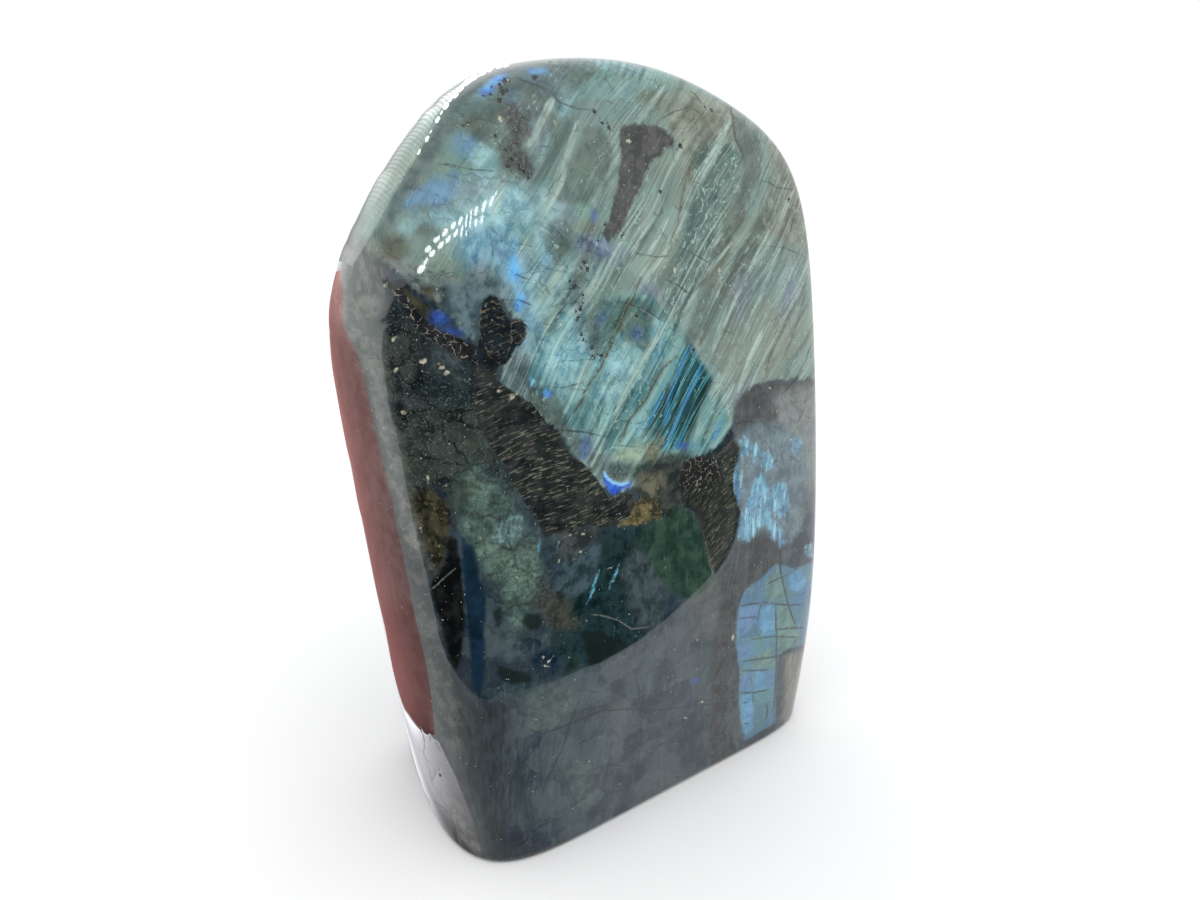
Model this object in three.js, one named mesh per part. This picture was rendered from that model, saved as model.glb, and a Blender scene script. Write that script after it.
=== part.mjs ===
// A polished labradorite freeform: one standing piece of stone with a broad,
// gently convex front face, a rounded front-left corner, a bevelled upper-left
// shoulder, a domed top, a slanted back-right side and a sawn flat base with a
// small rounded edge.
//
// Units are millimetres, +Z is up, the broad face looks along -Y, and the
// origin is at the bottom centre of the stone's bounding box.

import * as THREE from 'three';

// ---------------------------------------------------------------- dimensions

// The point inside the stone that the facets are measured from, above the base.
const HEART = new THREE.Vector3(9.5, 1.5, 80);

// Each ground facet is given by the heading of its outward normal (az, degrees
// from -Y towards +X), its tilt above level (el, degrees), its distance from
// HEART (dist, mm) and how tightly it turns into its neighbours (soft: a larger
// number is a flatter facet with a tighter edge).
const FACETS = [
  { name: 'front_lower', az: 3, el: -6, dist: 37.5, soft: 10.5 },
  { name: 'front_upper', az: 6, el: 8, dist: 28.1, soft: 11.5 },
  { name: 'left_side', az: -101.5, el: -8, dist: 63.8, soft: 11.5 },
  { name: 'left_shoulder', az: -115.5, el: 32, dist: 81.7, soft: 21.5 },
  { name: 'left_crown', az: -77, el: 73.5, dist: 100.8, soft: 15 },
  { name: 'front_left_corner', az: -49, el: -3.5, dist: 63.1, soft: 10.5 },
  { name: 'right_side', az: 76, el: -1, dist: 56.7, soft: 9 },
  { name: 'right_shoulder', az: 73, el: 57.5, dist: 87.2, soft: 10 },
  { name: 'crown', az: 5, el: 75, dist: 98.5, soft: 8.5 },
  { name: 'back', az: 182.5, el: 0.5, dist: 29.9, soft: 8.5 },
  { name: 'back_upper', az: 178, el: 36, dist: 62.7, soft: 8 },
  { name: 'back_right', az: 120, el: 2.5, dist: 39.6, soft: 9.5 },
  { name: 'back_left', az: -148.5, el: 4.5, dist: 53.2, soft: 9 },
];

// The sawn base: a flat face at z = 0 whose rim is rounded to this radius.
const BASE_EDGE_RADIUS = 1.6;
const BASE_EDGE_STEPS = 3;

// Mesh fineness.
const SEGMENTS = 76; // around the stone
const RISE_ROWS = 40; // from the base edge to the crown

// -------------------------------------------------------------------- surface

const DEG = Math.PI / 180;

for (const facet of FACETS) {
  const ca = Math.cos(facet.el * DEG);
  facet.normal = new THREE.Vector3(
    Math.sin(facet.az * DEG) * ca,
    -Math.cos(facet.az * DEG) * ca,
    Math.sin(facet.el * DEG),
  );
}

// Distance from HEART to the polished surface along a unit direction. The
// surface is where sum((reach . normal / dist) ^ soft) is 1, so every facet
// blends into the next with no sharp edge.
function reach(direction) {
  const logs = [];
  let start = Infinity;
  for (const facet of FACETS) {
    const part = direction.dot(facet.normal) / facet.dist;
    if (part <= 1e-9) continue;
    logs.push([Math.log(part), facet.soft]);
    start = Math.min(start, -Math.log(part));
  }
  let s = start;
  for (let step = 0; step < 12; step += 1) {
    let sum = 0;
    let slope = 0;
    for (const [log, soft] of logs) {
      const term = Math.exp(soft * (s + log));
      sum += term;
      slope += soft * term;
    }
    s -= (Math.log(sum) * sum) / slope;
  }
  return Math.exp(s);
}

function directionAt(heading, lift) {
  return new THREE.Vector3(
    Math.sin(heading) * Math.cos(lift),
    -Math.cos(heading) * Math.cos(lift),
    Math.sin(lift),
  );
}

function surfacePoint(heading, lift) {
  const direction = directionAt(heading, lift);
  return direction.multiplyScalar(reach(direction)).add(HEART);
}

// The lift at which the surface stands at a given height above the base.
function liftAtHeight(heading, height) {
  let low = -85 * DEG;
  let high = 0;
  for (let step = 0; step < 50; step += 1) {
    const middle = (low + high) / 2;
    if (surfacePoint(heading, middle).z > height) high = middle;
    else low = middle;
  }
  return (low + high) / 2;
}

// One meridian from the flat base, round the base edge and up to the crown,
// with the points on the rise evenly spaced along the surface.
function meridian(heading) {
  const points = [];
  const lowLift = liftAtHeight(heading, BASE_EDGE_RADIUS);
  const rim = surfacePoint(heading, lowLift);
  const outward = new THREE.Vector3(Math.sin(heading), -Math.cos(heading), 0);
  for (let step = 0; step < BASE_EDGE_STEPS; step += 1) {
    const turn = (step / BASE_EDGE_STEPS) * 90 * DEG;
    points.push(
      rim.clone()
        .addScaledVector(outward, -BASE_EDGE_RADIUS * (1 - Math.sin(turn)))
        .setZ(BASE_EDGE_RADIUS * (1 - Math.cos(turn))),
    );
  }
  const fine = 600;
  const track = [];
  let run = 0;
  for (let step = 0; step <= fine; step += 1) {
    const lift = lowLift + (90 * DEG - lowLift) * (step / fine);
    const point = surfacePoint(heading, lift);
    if (step > 0) run += point.distanceTo(track[step - 1].point);
    track.push({ point, run });
  }
  let cursor = 0;
  for (let row = 0; row < RISE_ROWS; row += 1) {
    const target = run * (row / RISE_ROWS);
    while (track[cursor + 1].run < target) cursor += 1;
    const a = track[cursor];
    const b = track[cursor + 1];
    const t = (target - a.run) / (b.run - a.run);
    points.push(a.point.clone().lerp(b.point, t));
  }
  return points;
}

function freeformGeometry() {
  const positions = [];
  const indices = [];
  const rows = BASE_EDGE_STEPS + RISE_ROWS;
  for (let column = 0; column < SEGMENTS; column += 1) {
    const heading = (column / SEGMENTS) * 2 * Math.PI;
    for (const point of meridian(heading)) positions.push(point.x, point.y, point.z);
  }
  const baseCentre = positions.length / 3;
  positions.push(HEART.x, HEART.y, 0);
  const crown = surfacePoint(0, 90 * DEG);
  const crownTip = positions.length / 3;
  positions.push(crown.x, crown.y, crown.z);
  for (let column = 0; column < SEGMENTS; column += 1) {
    const here = column * rows;
    const next = ((column + 1) % SEGMENTS) * rows;
    indices.push(baseCentre, next, here);
    for (let row = 0; row < rows - 1; row += 1) {
      indices.push(here + row, next + row, next + row + 1);
      indices.push(here + row, next + row + 1, here + row + 1);
    }
    indices.push(here + rows - 1, next + rows - 1, crownTip);
  }
  const geometry = new THREE.BufferGeometry();
  geometry.setAttribute('position', new THREE.Float32BufferAttribute(positions, 3));
  geometry.setIndex(indices);
  geometry.computeVertexNormals();
  return geometry;
}

// ---------------------------------------------------------------------- model

const model = new THREE.Group();

const stone = new THREE.Mesh(
  freeformGeometry(),
  new THREE.MeshStandardMaterial({ color: 0x4f6465, roughness: 0.12, metalness: 0 }),
);
stone.name = 'labradorite_freeform';
model.add(stone);

export default model;
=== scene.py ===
# A polished labradorite freeform, dressed in Blender round its imported solid.
#
# The stone is one piece. Its visual mesh is rebuilt here from the same ground
# facets as the solid, finer, with real relief: pits, a slightly sunken
# ilmenite, and the lips of cleavage cracks. Everything seen on the stone is
# made by nodes, steered by drawn outlines that are stored on the mesh as
# signed distances in millimetres.

import math

import bpy
import numpy as np
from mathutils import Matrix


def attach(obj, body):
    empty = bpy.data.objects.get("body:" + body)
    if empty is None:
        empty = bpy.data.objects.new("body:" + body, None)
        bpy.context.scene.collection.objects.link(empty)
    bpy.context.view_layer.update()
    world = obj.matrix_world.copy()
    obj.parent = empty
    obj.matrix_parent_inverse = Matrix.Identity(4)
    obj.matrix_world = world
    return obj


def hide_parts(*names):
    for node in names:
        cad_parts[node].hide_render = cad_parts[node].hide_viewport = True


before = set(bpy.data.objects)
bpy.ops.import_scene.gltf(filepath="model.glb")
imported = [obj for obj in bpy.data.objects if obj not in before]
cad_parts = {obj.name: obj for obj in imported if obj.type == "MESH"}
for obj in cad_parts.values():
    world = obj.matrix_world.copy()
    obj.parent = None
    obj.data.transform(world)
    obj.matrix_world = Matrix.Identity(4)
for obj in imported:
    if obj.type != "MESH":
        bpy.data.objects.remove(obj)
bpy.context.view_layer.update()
MM = 0.001

# ------------------------------------------------------------------ the facets
# heading and tilt of the outward normal (degrees), distance from HEART (mm) and
# softness of the turn into the neighbouring facets.
HEART = np.array([9.5, 1.5, 80.0])
FACETS = np.array([
    (3, -6, 37.5, 10.5),
    (6, 8, 28.1, 11.5),
    (-101.5, -8, 63.8, 11.5),
    (-115.5, 32, 81.7, 21.5),
    (-77, 73.5, 100.8, 15),
    (-49, -3.5, 63.1, 10.5),
    (76, -1, 56.7, 9),
    (73, 57.5, 87.2, 10),
    (5, 75, 98.5, 8.5),
    (182.5, 0.5, 29.9, 8.5),
    (178, 36, 62.7, 8),
    (120, 2.5, 39.6, 9.5),
    (-148.5, 4.5, 53.2, 9),
], float)
EDGE_RADIUS = 1.6

_az, _el = np.radians(FACETS[:, 0]), np.radians(FACETS[:, 1])
NORMALS = np.stack([np.sin(_az) * np.cos(_el), -np.cos(_az) * np.cos(_el), np.sin(_el)], 1)
DIST, SOFT = FACETS[:, 2], FACETS[:, 3]


def reach(directions):
    """Distance from HEART to the polished surface along unit directions."""
    logs = np.log(np.maximum(1e-9, directions @ NORMALS.T / DIST))
    s = -logs.max(1)
    for _ in range(9):
        terms = SOFT * (s[:, None] + logs)
        top = terms.max(1)
        e = np.exp(terms - top[:, None])
        total = e.sum(1)
        s = s - (top + np.log(total)) / ((e * SOFT).sum(1) / total)
    return np.exp(s)


def on_surface(points):
    """Points pushed along their line from HEART onto the polished surface."""
    d = points - HEART
    d = d / np.linalg.norm(d, axis=1, keepdims=True)
    return HEART + d * reach(d)[:, None]


def surface_normals(points):
    g = np.maximum(0, (points - HEART) @ NORMALS.T / DIST)
    n = (SOFT * g ** (SOFT - 1) / DIST) @ NORMALS
    return n / np.linalg.norm(n, axis=1, keepdims=True)


def directions_at(heading, lift):
    return np.stack([np.sin(heading) * np.cos(lift), -np.cos(heading) * np.cos(lift), np.sin(lift)], -1)


# The drawing plane of the marks: seen from the front left and a little above.
# U runs to the right and V up, both in mm.
PLANE_HEADING, PLANE_TILT = math.radians(-30), math.radians(20)
PLANE_OUT = np.array([
    math.sin(PLANE_HEADING) * math.cos(PLANE_TILT),
    -math.cos(PLANE_HEADING) * math.cos(PLANE_TILT),
    math.sin(PLANE_TILT),
])
PLANE_U = np.array([math.cos(PLANE_HEADING), math.sin(PLANE_HEADING), 0.0])
PLANE_V = np.cross(PLANE_U, -PLANE_OUT)

# ---------------------------------------------------------------- marks on it
# All in mm on the drawing plane. AREAS are closed outlines, ELLIPSES are
# (centre, radii, turn), LINES are (points, half width), PITS are (centre, radius).
AREAS = {
    "ink": [
        [(-21.4, 108.4), (-20.1, 108.4), (-19.1, 106.9), (-18, 104.8), (-17.3, 104.2), (-15.8, 104.7), (-14.7, 103.7), (-14.5, 102), (-15.3, 100.3), (-16.8, 99.3), (-17.5, 97.6), (-18.5, 96.4), (-19.6, 95.8), (-20.1, 94.7), (-20.3, 93.4), (-18.1, 91.6), (-16.1, 90.2), (-14.6, 89.6), (-13, 88.3), (-11.9, 86.6), (-9.9, 84.5), (-8.1, 83.3), (-6.6, 80.3), (-5.4, 78.5), (-3.3, 77.5), (-1.7, 75.4), (-0.4, 73.9), (0.5, 72.4), (2.3, 69.8), (5, 70.5), (8, 70.5), (8.3, 67.5), (6.7, 65), (3.5, 63.5), (0.6, 63.7), (-2.5, 64.4), (-5.8, 63.4), (-8.9, 63), (-10.9, 62.6), (-12, 64.1), (-13.3, 66.8), (-14.7, 68.9), (-16.2, 71.7), (-17.6, 74.3), (-18.5, 76.7), (-20.3, 79.2), (-22.1, 82), (-23.5, 84.8), (-24.4, 87.6), (-24.2, 90.3), (-24.6, 94.5), (-24.4, 96.3), (-26.3, 96.2), (-28, 97.7), (-30.1, 99.1), (-32.1, 100.2), (-34.1, 101.9), (-35.8, 103.9), (-36.9, 106.1), (-37.7, 108), (-36.6, 108.4), (-35.1, 106.6), (-33.7, 104.6), (-32, 102.6), (-30, 101.7), (-27.6, 100.9), (-25.2, 99.6), (-23.6, 99.4), (-22.9, 101.4), (-23.1, 103), (-23.2, 104.7), (-22.6, 106.9)],
        [(-39.9, 110.2), (-38.8, 110.5), (-37.8, 109.4), (-38.2, 108.5), (-39.4, 108.9)],
        [(20.4, 76.9), (23.8, 78.2), (28.1, 77.6), (33.2, 81.5), (35.2, 79.6), (34, 74.7), (33.9, 70.2), (35.5, 66.3), (36.2, 64.3), (35.3, 59.7), (33.7, 55.5), (31.1, 51.8), (29.5, 50.1), (28, 52.4), (27, 56.4), (25.4, 60.6), (23.9, 64.9), (20.7, 67.2), (19.3, 70.4), (19.2, 74)],
    ],
    "smoke": [
        [(4.1, 143.7), (6.6, 145), (9.5, 145.8), (11.9, 145.8), (13.7, 145.6), (15.4, 145), (16.8, 143.9), (16.2, 142.7), (14.4, 142), (13.5, 140.3), (11.5, 138.9), (10.8, 137.8), (9.9, 135.5), (8.9, 132.9), (7.8, 130.4), (6, 127.4), (4.6, 124.4), (3.6, 122.7), (1.7, 120.9), (0.5, 122.5), (1.7, 125.2), (2.7, 128.9), (3.6, 133), (4.4, 136.7), (4.1, 140.7)],
    ],
    "smudge": [
        [(-17.8, 143.5), (-15.8, 143.2), (-14, 141), (-13.5, 138.6), (-14.8, 136.1), (-13.3, 134.3), (-12.8, 131.9), (-13.4, 129.7), (-14.8, 130.4), (-17, 130.7), (-18.8, 130.5), (-19.3, 132.7), (-18.2, 134.8), (-17.3, 136.6), (-18.4, 138.9), (-19.3, 140.1)],
    ],
    "field": [
        [(-57.4, 131.5), (-55.6, 133.3), (-54, 135), (-52.5, 136.7), (-51.1, 138.3), (-50.8, 141.8), (-49.3, 142.9), (-48, 144.1), (-48.3, 148.1), (-44.7, 146.9), (-43.3, 151.1), (-40.9, 153.1), (-38.5, 155.8), (-36, 159.7), (-33, 162.4), (-29.5, 164.3), (-25.7, 165.9), (-21.6, 166.9), (-17.4, 169.5), (-13, 170.5), (-8.6, 170.1), (-4, 170.7), (0.8, 171.9), (5.6, 172.2), (10.6, 173.1), (15.5, 173.2), (20.1, 172.4), (24.9, 172.1), (29.3, 170.8), (33.6, 169.7), (38, 168.7), (41.6, 166.8), (45.9, 166.1), (48.7, 163.3), (52.2, 161.9), (56.1, 161.3), (60.4, 161.4), (60.9, 158), (61.4, 154.6), (62, 151.2), (62.6, 147.7), (62.8, 143.9), (63.6, 140.5), (64.5, 137.1), (65.4, 133.6), (66.4, 130), (67.5, 126.3), (68.7, 122.6), (69, 118.3), (69.5, 114), (70.6, 110), (71, 105.5), (71.5, 101), (72.7, 96.6), (72.1, 97.4), (72.4, 98.5), (71.9, 99.6), (58.6, 97.3), (43.6, 95.8), (38.3, 94.4), (35.3, 91.5), (33, 86.4), (30.9, 81.7), (25.9, 78.4), (20.4, 77.1), (16.4, 77), (13.2, 76.6), (9.6, 72), (5.4, 71.3), (1.1, 72.8), (-1.7, 75.6), (-5.4, 78.7), (-8.1, 83.5), (-11.9, 86.8), (-16.1, 90.2), (-19.1, 92.5), (-19, 96.2), (-15.8, 99.5), (-14.7, 104.2), (-17.5, 104.7), (-19.4, 108.1), (-21.2, 109), (-23.7, 107.3), (-24.8, 104.1), (-24.2, 100.2), (-26.2, 101.9), (-29.2, 104.8), (-31.6, 106.7), (-34.2, 108.6), (-36.2, 110.6), (-39.2, 113), (-42.5, 115.4), (-44.9, 116.9), (-58.6, 128.7), (-57.8, 129), (-57.6, 129.9), (-57.2, 130.3)],
    ],
    "deep": [
        [(-8.1, 103.3), (0.2, 109.9), (9, 112.8), (16.6, 107.1), (21.2, 102.6), (27.1, 96.2), (31.2, 88.6), (33.1, 82.2), (28.8, 79), (21.9, 78), (16.3, 79.6), (11.9, 81.4), (8.5, 82.3), (6.7, 79.3), (1.3, 78.8), (-1.8, 81.9), (-6, 83.9), (-8.9, 87.5), (-12, 90.7), (-14, 95.3), (-13, 100.1)],
    ],
    "cobalt": [
        [(16, 92.2), (21.2, 102.6), (23.9, 99.5), (27.1, 95.9), (25.7, 91.9), (22.8, 85.1), (19.3, 79.1), (15.3, 79.6), (11.9, 81.8), (12.9, 87.2)],
    ],
    "coal": [
        [(-39.6, 105.4), (-38.1, 106.6), (-36.1, 104.6), (-34.1, 102.6), (-31.7, 100.9), (-29, 99.3), (-26.7, 97.8), (-23.9, 96.1), (-23.6, 91.3), (-23.7, 85.8), (-21.2, 80.5), (-18.3, 76.3), (-16.1, 71.5), (-19.8, 74.8), (-23.6, 73.3), (-27, 70.7), (-29.5, 72.3), (-32.9, 73.1), (-36.5, 73.4), (-39.1, 76.5), (-40.4, 85.9), (-41.1, 96.6)],
    ],
    "coal2": [
        [(-34.1, 53.6), (-32.7, 55.2), (-31.4, 56.7), (-30.4, 59.8), (-30.1, 63.3), (-29.1, 64.1), (-28.2, 63.3), (-27.5, 58.9), (-27.4, 54.8), (-27, 47.3), (-27.8, 40.7), (-28.8, 36), (-29.5, 34.2), (-30.7, 36.1), (-31.9, 41.5), (-33, 47.8)],
    ],
    "navy": [
        [(-27.5, 63.7), (-26.4, 63.1), (-25.2, 61.4), (-24.5, 58.4), (-24.1, 54.9), (-22.8, 51.1), (-23.1, 48), (-23.4, 44.4), (-23.3, 39.8), (-23.4, 34.3), (-25, 28.5), (-26.1, 31), (-26.3, 39.3), (-26.9, 48.2), (-27.3, 56.3)],
    ],
    "olive": [
        [(-38.3, 70.6), (-36.5, 73), (-32.9, 73.3), (-29.9, 71.5), (-28.9, 68.4), (-29.5, 62.9), (-30.1, 58.8), (-33.1, 55.6), (-34.5, 58.6), (-35.9, 63.7), (-37.3, 67.7)],
    ],
    "lens": [
        [(-25.7, 76.8), (-23.5, 78.7), (-21.3, 75.2), (-18.4, 72), (-16.1, 68.3), (-13.7, 65.2), (-12.2, 61), (-12, 54.8), (-12.6, 49.6), (-13.8, 44.4), (-16.3, 41.5), (-18.7, 46), (-20.9, 51.5), (-23.1, 57.8), (-25.7, 61.9), (-27.9, 66.5), (-28.8, 71.7)],
    ],
    "moss": [
        [(10.3, 62.3), (14.6, 66.4), (20.2, 66.7), (23.9, 64.4), (25.7, 60.1), (27.5, 55.4), (30.1, 49), (26.9, 46), (23.1, 44.6), (17.2, 47.8), (14, 51.7), (12.4, 56.5), (8.9, 59.1)],
    ],
    "abyss": [
        [(-10.5, 60.9), (-6, 62.3), (0.6, 62.6), (7.4, 63.8), (12.3, 62.1), (13.9, 55.2), (13.1, 48.4), (15.3, 43.3), (17.4, 41.1), (10.5, 37), (1, 33.6), (-6.7, 31.9), (-8.8, 37.1), (-10.6, 42.9), (-9.7, 49.3), (-11, 55.7)],
    ],
    "steelpatch": [
        [(9.4, 60.1), (11.9, 58.6), (13.9, 54.7), (15.6, 50.4), (17.3, 45.4), (16.4, 40.3), (12.9, 38), (9.4, 41.5), (7, 46.9), (6.2, 52.7), (7.5, 57)],
        [(-20.7, 43.6), (-16.3, 44.1), (-14.3, 40.1), (-14.7, 35.1), (-19.4, 36.5), (-21.1, 39.7)],
        [(-32.9, 98.8), (-28.4, 97.7), (-26.2, 95.5), (-27.1, 92.6), (-31.6, 94), (-33.7, 96.4)],
    ],
    "gold": [
        [(4.6, 63.4), (5.5, 65.3), (7.4, 67.3), (9.9, 69.6), (12.1, 69), (14.3, 68.8), (14.9, 66.8), (14.8, 64.4), (13.2, 64.9), (12.2, 63.9), (9.5, 63.8), (7, 63.6)],
    ],
    "ember": [
        [(24.9, 68.1), (29.8, 68.3), (32.7, 66.4), (31, 64.9), (26.6, 64.9)],
        [(-8.1, 63.8), (-2.8, 64), (0.6, 63.1), (-1.2, 60), (-5.9, 57.3), (-8.9, 57.6)],
        [(-11.2, 49.9), (-7.6, 51.1), (-4.8, 47.5), (-5.4, 42.1), (-8.9, 43.1), (-11.4, 46.3)],
    ],
    "crescent": [
        [(1.3, 75.1), (2.5, 73.5), (4.1, 72.6), (5.9, 72.3), (7.7, 73.1), (7.3, 72.1), (5.4, 71.3), (3.4, 70.3), (2.3, 71.7), (1.3, 73.4)],
    ],
    "eye": [
        [(4, 80), (9.5, 80.6), (10.7, 79.3), (9.1, 77.8), (6.3, 77.7), (3.5, 78.1)],
    ],
    "eyedark": [
        [(1.8, 77.3), (7.7, 76.8), (7.3, 73.8), (4.1, 73.1), (2, 74.8)],
    ],
    "ash": [
        [(33.1, 90.1), (35.3, 92), (37.2, 93.6), (39.8, 94.7), (45.1, 95.4), (53, 95.2), (58.6, 96.2), (71.8, 99.1), (73.1, 94.3), (73.4, 89.3), (73.7, 84.2), (58, 84.2), (53.6, 85.6), (47.1, 86.5), (43.5, 85.5), (40.4, 86.5), (37.6, 85.5), (34.2, 84.1), (33, 86.8)],
        [(30.1, 48.5), (33, 52.6), (36, 56), (39.5, 57.4), (43.1, 58.5), (46, 56.3), (49, 54.2), (49.3, 50.8), (45.9, 48.6), (42.6, 46.9), (39.1, 44.3), (37, 39.7), (36.8, 31.6), (39, 22.7), (39.3, 13.7), (36.4, 10.6), (39.2, 3.1), (46.4, -15), (41.4, -15.6), (36.8, -16.8), (31.8, 0.4), (31.3, 6.7), (30.8, 18.4), (30.1, 34.2), (31.7, 40.3), (31.9, 45.8)],
    ],
    "azure": [
        [(33.2, 74.7), (34.5, 75.6), (36.4, 73.7), (36.8, 69.8), (36.4, 66.7), (35.3, 65.6), (34, 67.6), (33, 71.4)],
        [(39.2, 68.7), (40.5, 72.6), (42.3, 73.7), (43.9, 71.2), (45.4, 66.9), (45.9, 63.4), (44.8, 61.5), (42.9, 61.1), (41.5, 59.7), (39.2, 57.2), (37.2, 57.1), (35.6, 59), (36.3, 62.3), (37.3, 65.4)],
        [(45.2, 70.4), (47.3, 71.2), (49.6, 70.7), (50.7, 68.1), (50.8, 64.6), (50.1, 62.3), (47.9, 62.2), (46.2, 64.4), (45.1, 67.4)],
        [(41.4, 78.1), (43.2, 79.3), (45.4, 77.8), (46.1, 75.8), (44.7, 74.4), (42.2, 75.4)],
        [(34.9, 81.7), (36.5, 83.1), (38.3, 81.2), (37.9, 77.9), (35.9, 77.5)],
        [(39, 80.3), (40.4, 81.2), (41.4, 78.8), (40.4, 75.9), (39.1, 76.9)],
        [(44, 64), (45.9, 62.9), (48.7, 59.6), (50.9, 55.8), (49, 55), (46.2, 57.8), (44.2, 61)],
        [(51.2, 81.1), (52.8, 82.1), (54.2, 81.1), (54, 79.4), (52.7, 78.1), (51.3, 79.2)],
        [(55.5, 48.2), (58.4, 48.6), (60.3, 45.8), (58.9, 43.6), (56.2, 44.6)],
        [(57.9, 54), (60.3, 54.2), (60.6, 50.9), (58.5, 51.3)],
    ],
    "tiles": [
        [(36.9, 39.8), (38.5, 44.7), (40.8, 46.1), (43.8, 47.4), (45.9, 49.1), (47.7, 50.4), (51, 49.6), (54.5, 48.4), (56.9, 48.8), (60.8, 49.3), (74.3, 44.9), (73.8, 39.1), (73.5, 33.2), (73.3, 27.3), (72.3, 22.1), (59.6, 26.1), (55.8, 26.2), (53, 26), (51.5, 24.5), (51.2, 22.6), (51.4, 17.2), (51.9, 11.8), (53.4, 4.3), (48.1, 2.6), (43, 1.3), (41.1, 7.8), (39.7, 13.6), (39, 22.7), (36.8, 31.6)],
    ],
    "tilegreen": [
        [(49.9, 39.1), (53.3, 38.2), (56.8, 32), (50.5, 32.7)],
        [(42.4, 26.7), (47.5, 27.4), (50.4, 24.8), (50.2, 21.3), (42.8, 23)],
        [(49.9, 32.2), (58.1, 31.1), (58.7, 26.9), (55, 26.4), (51.4, 25.1)],
        [(45, 47.4), (48.7, 49.6), (52.1, 40.3), (44.9, 41.2)],
        [(36.1, 12.2), (38.6, 12.7), (41.1, 7.8), (42.8, 2.3), (40.3, 1.9), (37.7, 6.9)],
    ],
    "brownedge": [
        [(53.1, 24.8), (59.1, 24.7), (72.3, 17.8), (72.3, 22.1), (71.5, 16.8), (70.8, 11.6), (70.3, 6.5), (69.9, 1.3), (69.6, -4), (68.2, -7.8), (66.5, -9.1), (63.9, -9.7), (61.2, -10.2), (55.1, 5.1), (56.1, 10.3)],
    ],
    "corner": [
        [(-59.3, 126.4), (-46.1, 117.8), (-41.3, 115.8), (-39.2, 112), (-39.9, 106.7), (-40.5, 101.4), (-40.3, 89.5), (-38.9, 82.1), (-38, 74.5), (-36.9, 66.7), (-35.5, 59.4), (-37.1, 58.4), (-38.7, 64.9), (-40, 70.5), (-40.6, 73.1), (-41.7, 78), (-43, 84.8), (-43.9, 92.5), (-45, 97.1), (-46.2, 100.2), (-48, 102.2), (-52.6, 109.5), (-63.3, 120.5), (-61.5, 123.8)],
    ],
    "milk": [
        [(-40.9, 74.9), (-37.2, 74.2), (-36.5, 72.2), (-39.9, 71.3)],
        [(-39.8, 67.5), (-36.5, 66.7), (-34.8, 61.1), (-33.8, 57.4), (-35.8, 58.1), (-38.6, 61.4)],
        [(-35.5, 7.7), (-32.7, 4.7), (-30.5, 1.2), (-28.3, -3.1), (-27.1, -7.2), (-25.8, -11), (-27.2, -11.9), (-30, -8.9), (-32.2, -4.9), (-35.2, -2.9), (-38, -0.8)],
    ],
    "slate": [
        [(-26.7, 30.5), (-20.5, 30.2), (-12.2, 30.1), (1, 32.2), (16.9, 40.2), (25.7, 46.6), (33.8, 55), (37.4, 42.5), (38.7, 15), (39.9, 9.5), (41.3, 3.8), (49.1, -13.6), (44.2, -15.5), (39.1, -16.7), (34.1, -17.7), (28.6, -18.9), (23.4, -20.6), (18.2, -21.6), (13, -22.6), (8, -23.5), (3.1, -24.3), (-1.7, -25.2), (-6.3, -26.1), (-10.8, -27), (-15.1, -27.4), (-19.3, -28.1), (-23.1, -27.8), (-23.1, -13.4), (-24.8, -7.9), (-26.3, 2.9), (-27.6, 15.8), (-28.6, 24.3)],
    ],
    "fog": [
        [(-16.4, 30.3), (-11.2, 30.4), (-5.3, 28.3), (-3.9, 24.4), (-6.1, 20.7), (-11.1, 19.4), (-14.4, 21)],
        [(-6.4, 8.4), (-0.7, 8), (1.1, -2.4), (-2.8, -4.4), (-5.8, 0)],
    ],
    "dusk": [
        [(-3.1, 141.7), (-0, 143.2), (2.7, 138.9), (0.8, 131.9), (-2, 127.6), (-7.7, 127), (-10.4, 127.9), (-8, 132.9), (-5.1, 137.2)],
        [(31, 154), (34.1, 153.8), (38, 150.1), (39.5, 145.3), (38.1, 139.4), (34.9, 134), (32.4, 127.7), (29.2, 120.8), (25.8, 112.2), (23.2, 104.4), (20.7, 101.5), (19.7, 103.5), (22, 110.1), (24.6, 117.8), (27.2, 124.6), (29.6, 131.3), (33.2, 137.7), (34.2, 142.9), (31.7, 147.8)],
        [(-10.4, 123), (-8.1, 124.2), (-5.3, 122.8), (-6.1, 118.6), (-8.8, 115.9), (-10.8, 117.9), (-11.3, 120.3)],
        [(-0.7, 109.8), (2.7, 110.1), (5, 108.8), (4.1, 105.1), (2, 101.8), (-0.6, 99.6), (-2.3, 101.8), (-2.8, 106.1)],
        [(-12, 92.6), (-8.9, 91.4), (-6.8, 86.9), (-5.6, 81.9), (-8.1, 83.5), (-11.1, 86.3), (-13.6, 89.3), (-14.8, 91.2)],
        [(8.2, 103.9), (10.9, 104.9), (11.9, 101.9), (10.1, 100.3), (7.8, 101.4)],
        [(40.4, 137), (41.8, 133.5), (39.7, 127.6), (37.1, 120.6), (34.6, 113.6), (31.1, 106.6), (28, 103.1), (29.3, 109.1), (32.9, 116.7), (35.3, 124.7), (36.7, 130.4)],
        [(-23.9, 149.2), (-19.3, 154.3), (-16.4, 154.6), (-13.4, 156), (-11.9, 169.4), (-6.5, 157.5), (-2.5, 158.1), (0.2, 154.4), (-5, 148.1), (-8, 143.5), (-11.8, 139.7), (-14, 142.1), (-16.9, 144.1), (-19.1, 141.7), (-18.2, 137), (-19.5, 134), (-22.6, 134.8), (-25, 136.1), (-26, 139.7), (-25.1, 143.7)],
        [(3.2, 110.2), (9, 111.6), (12.5, 109.2), (11.9, 104.6), (7.3, 101.8), (3.2, 104.3)],
    ],
    "tickland": [
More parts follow.
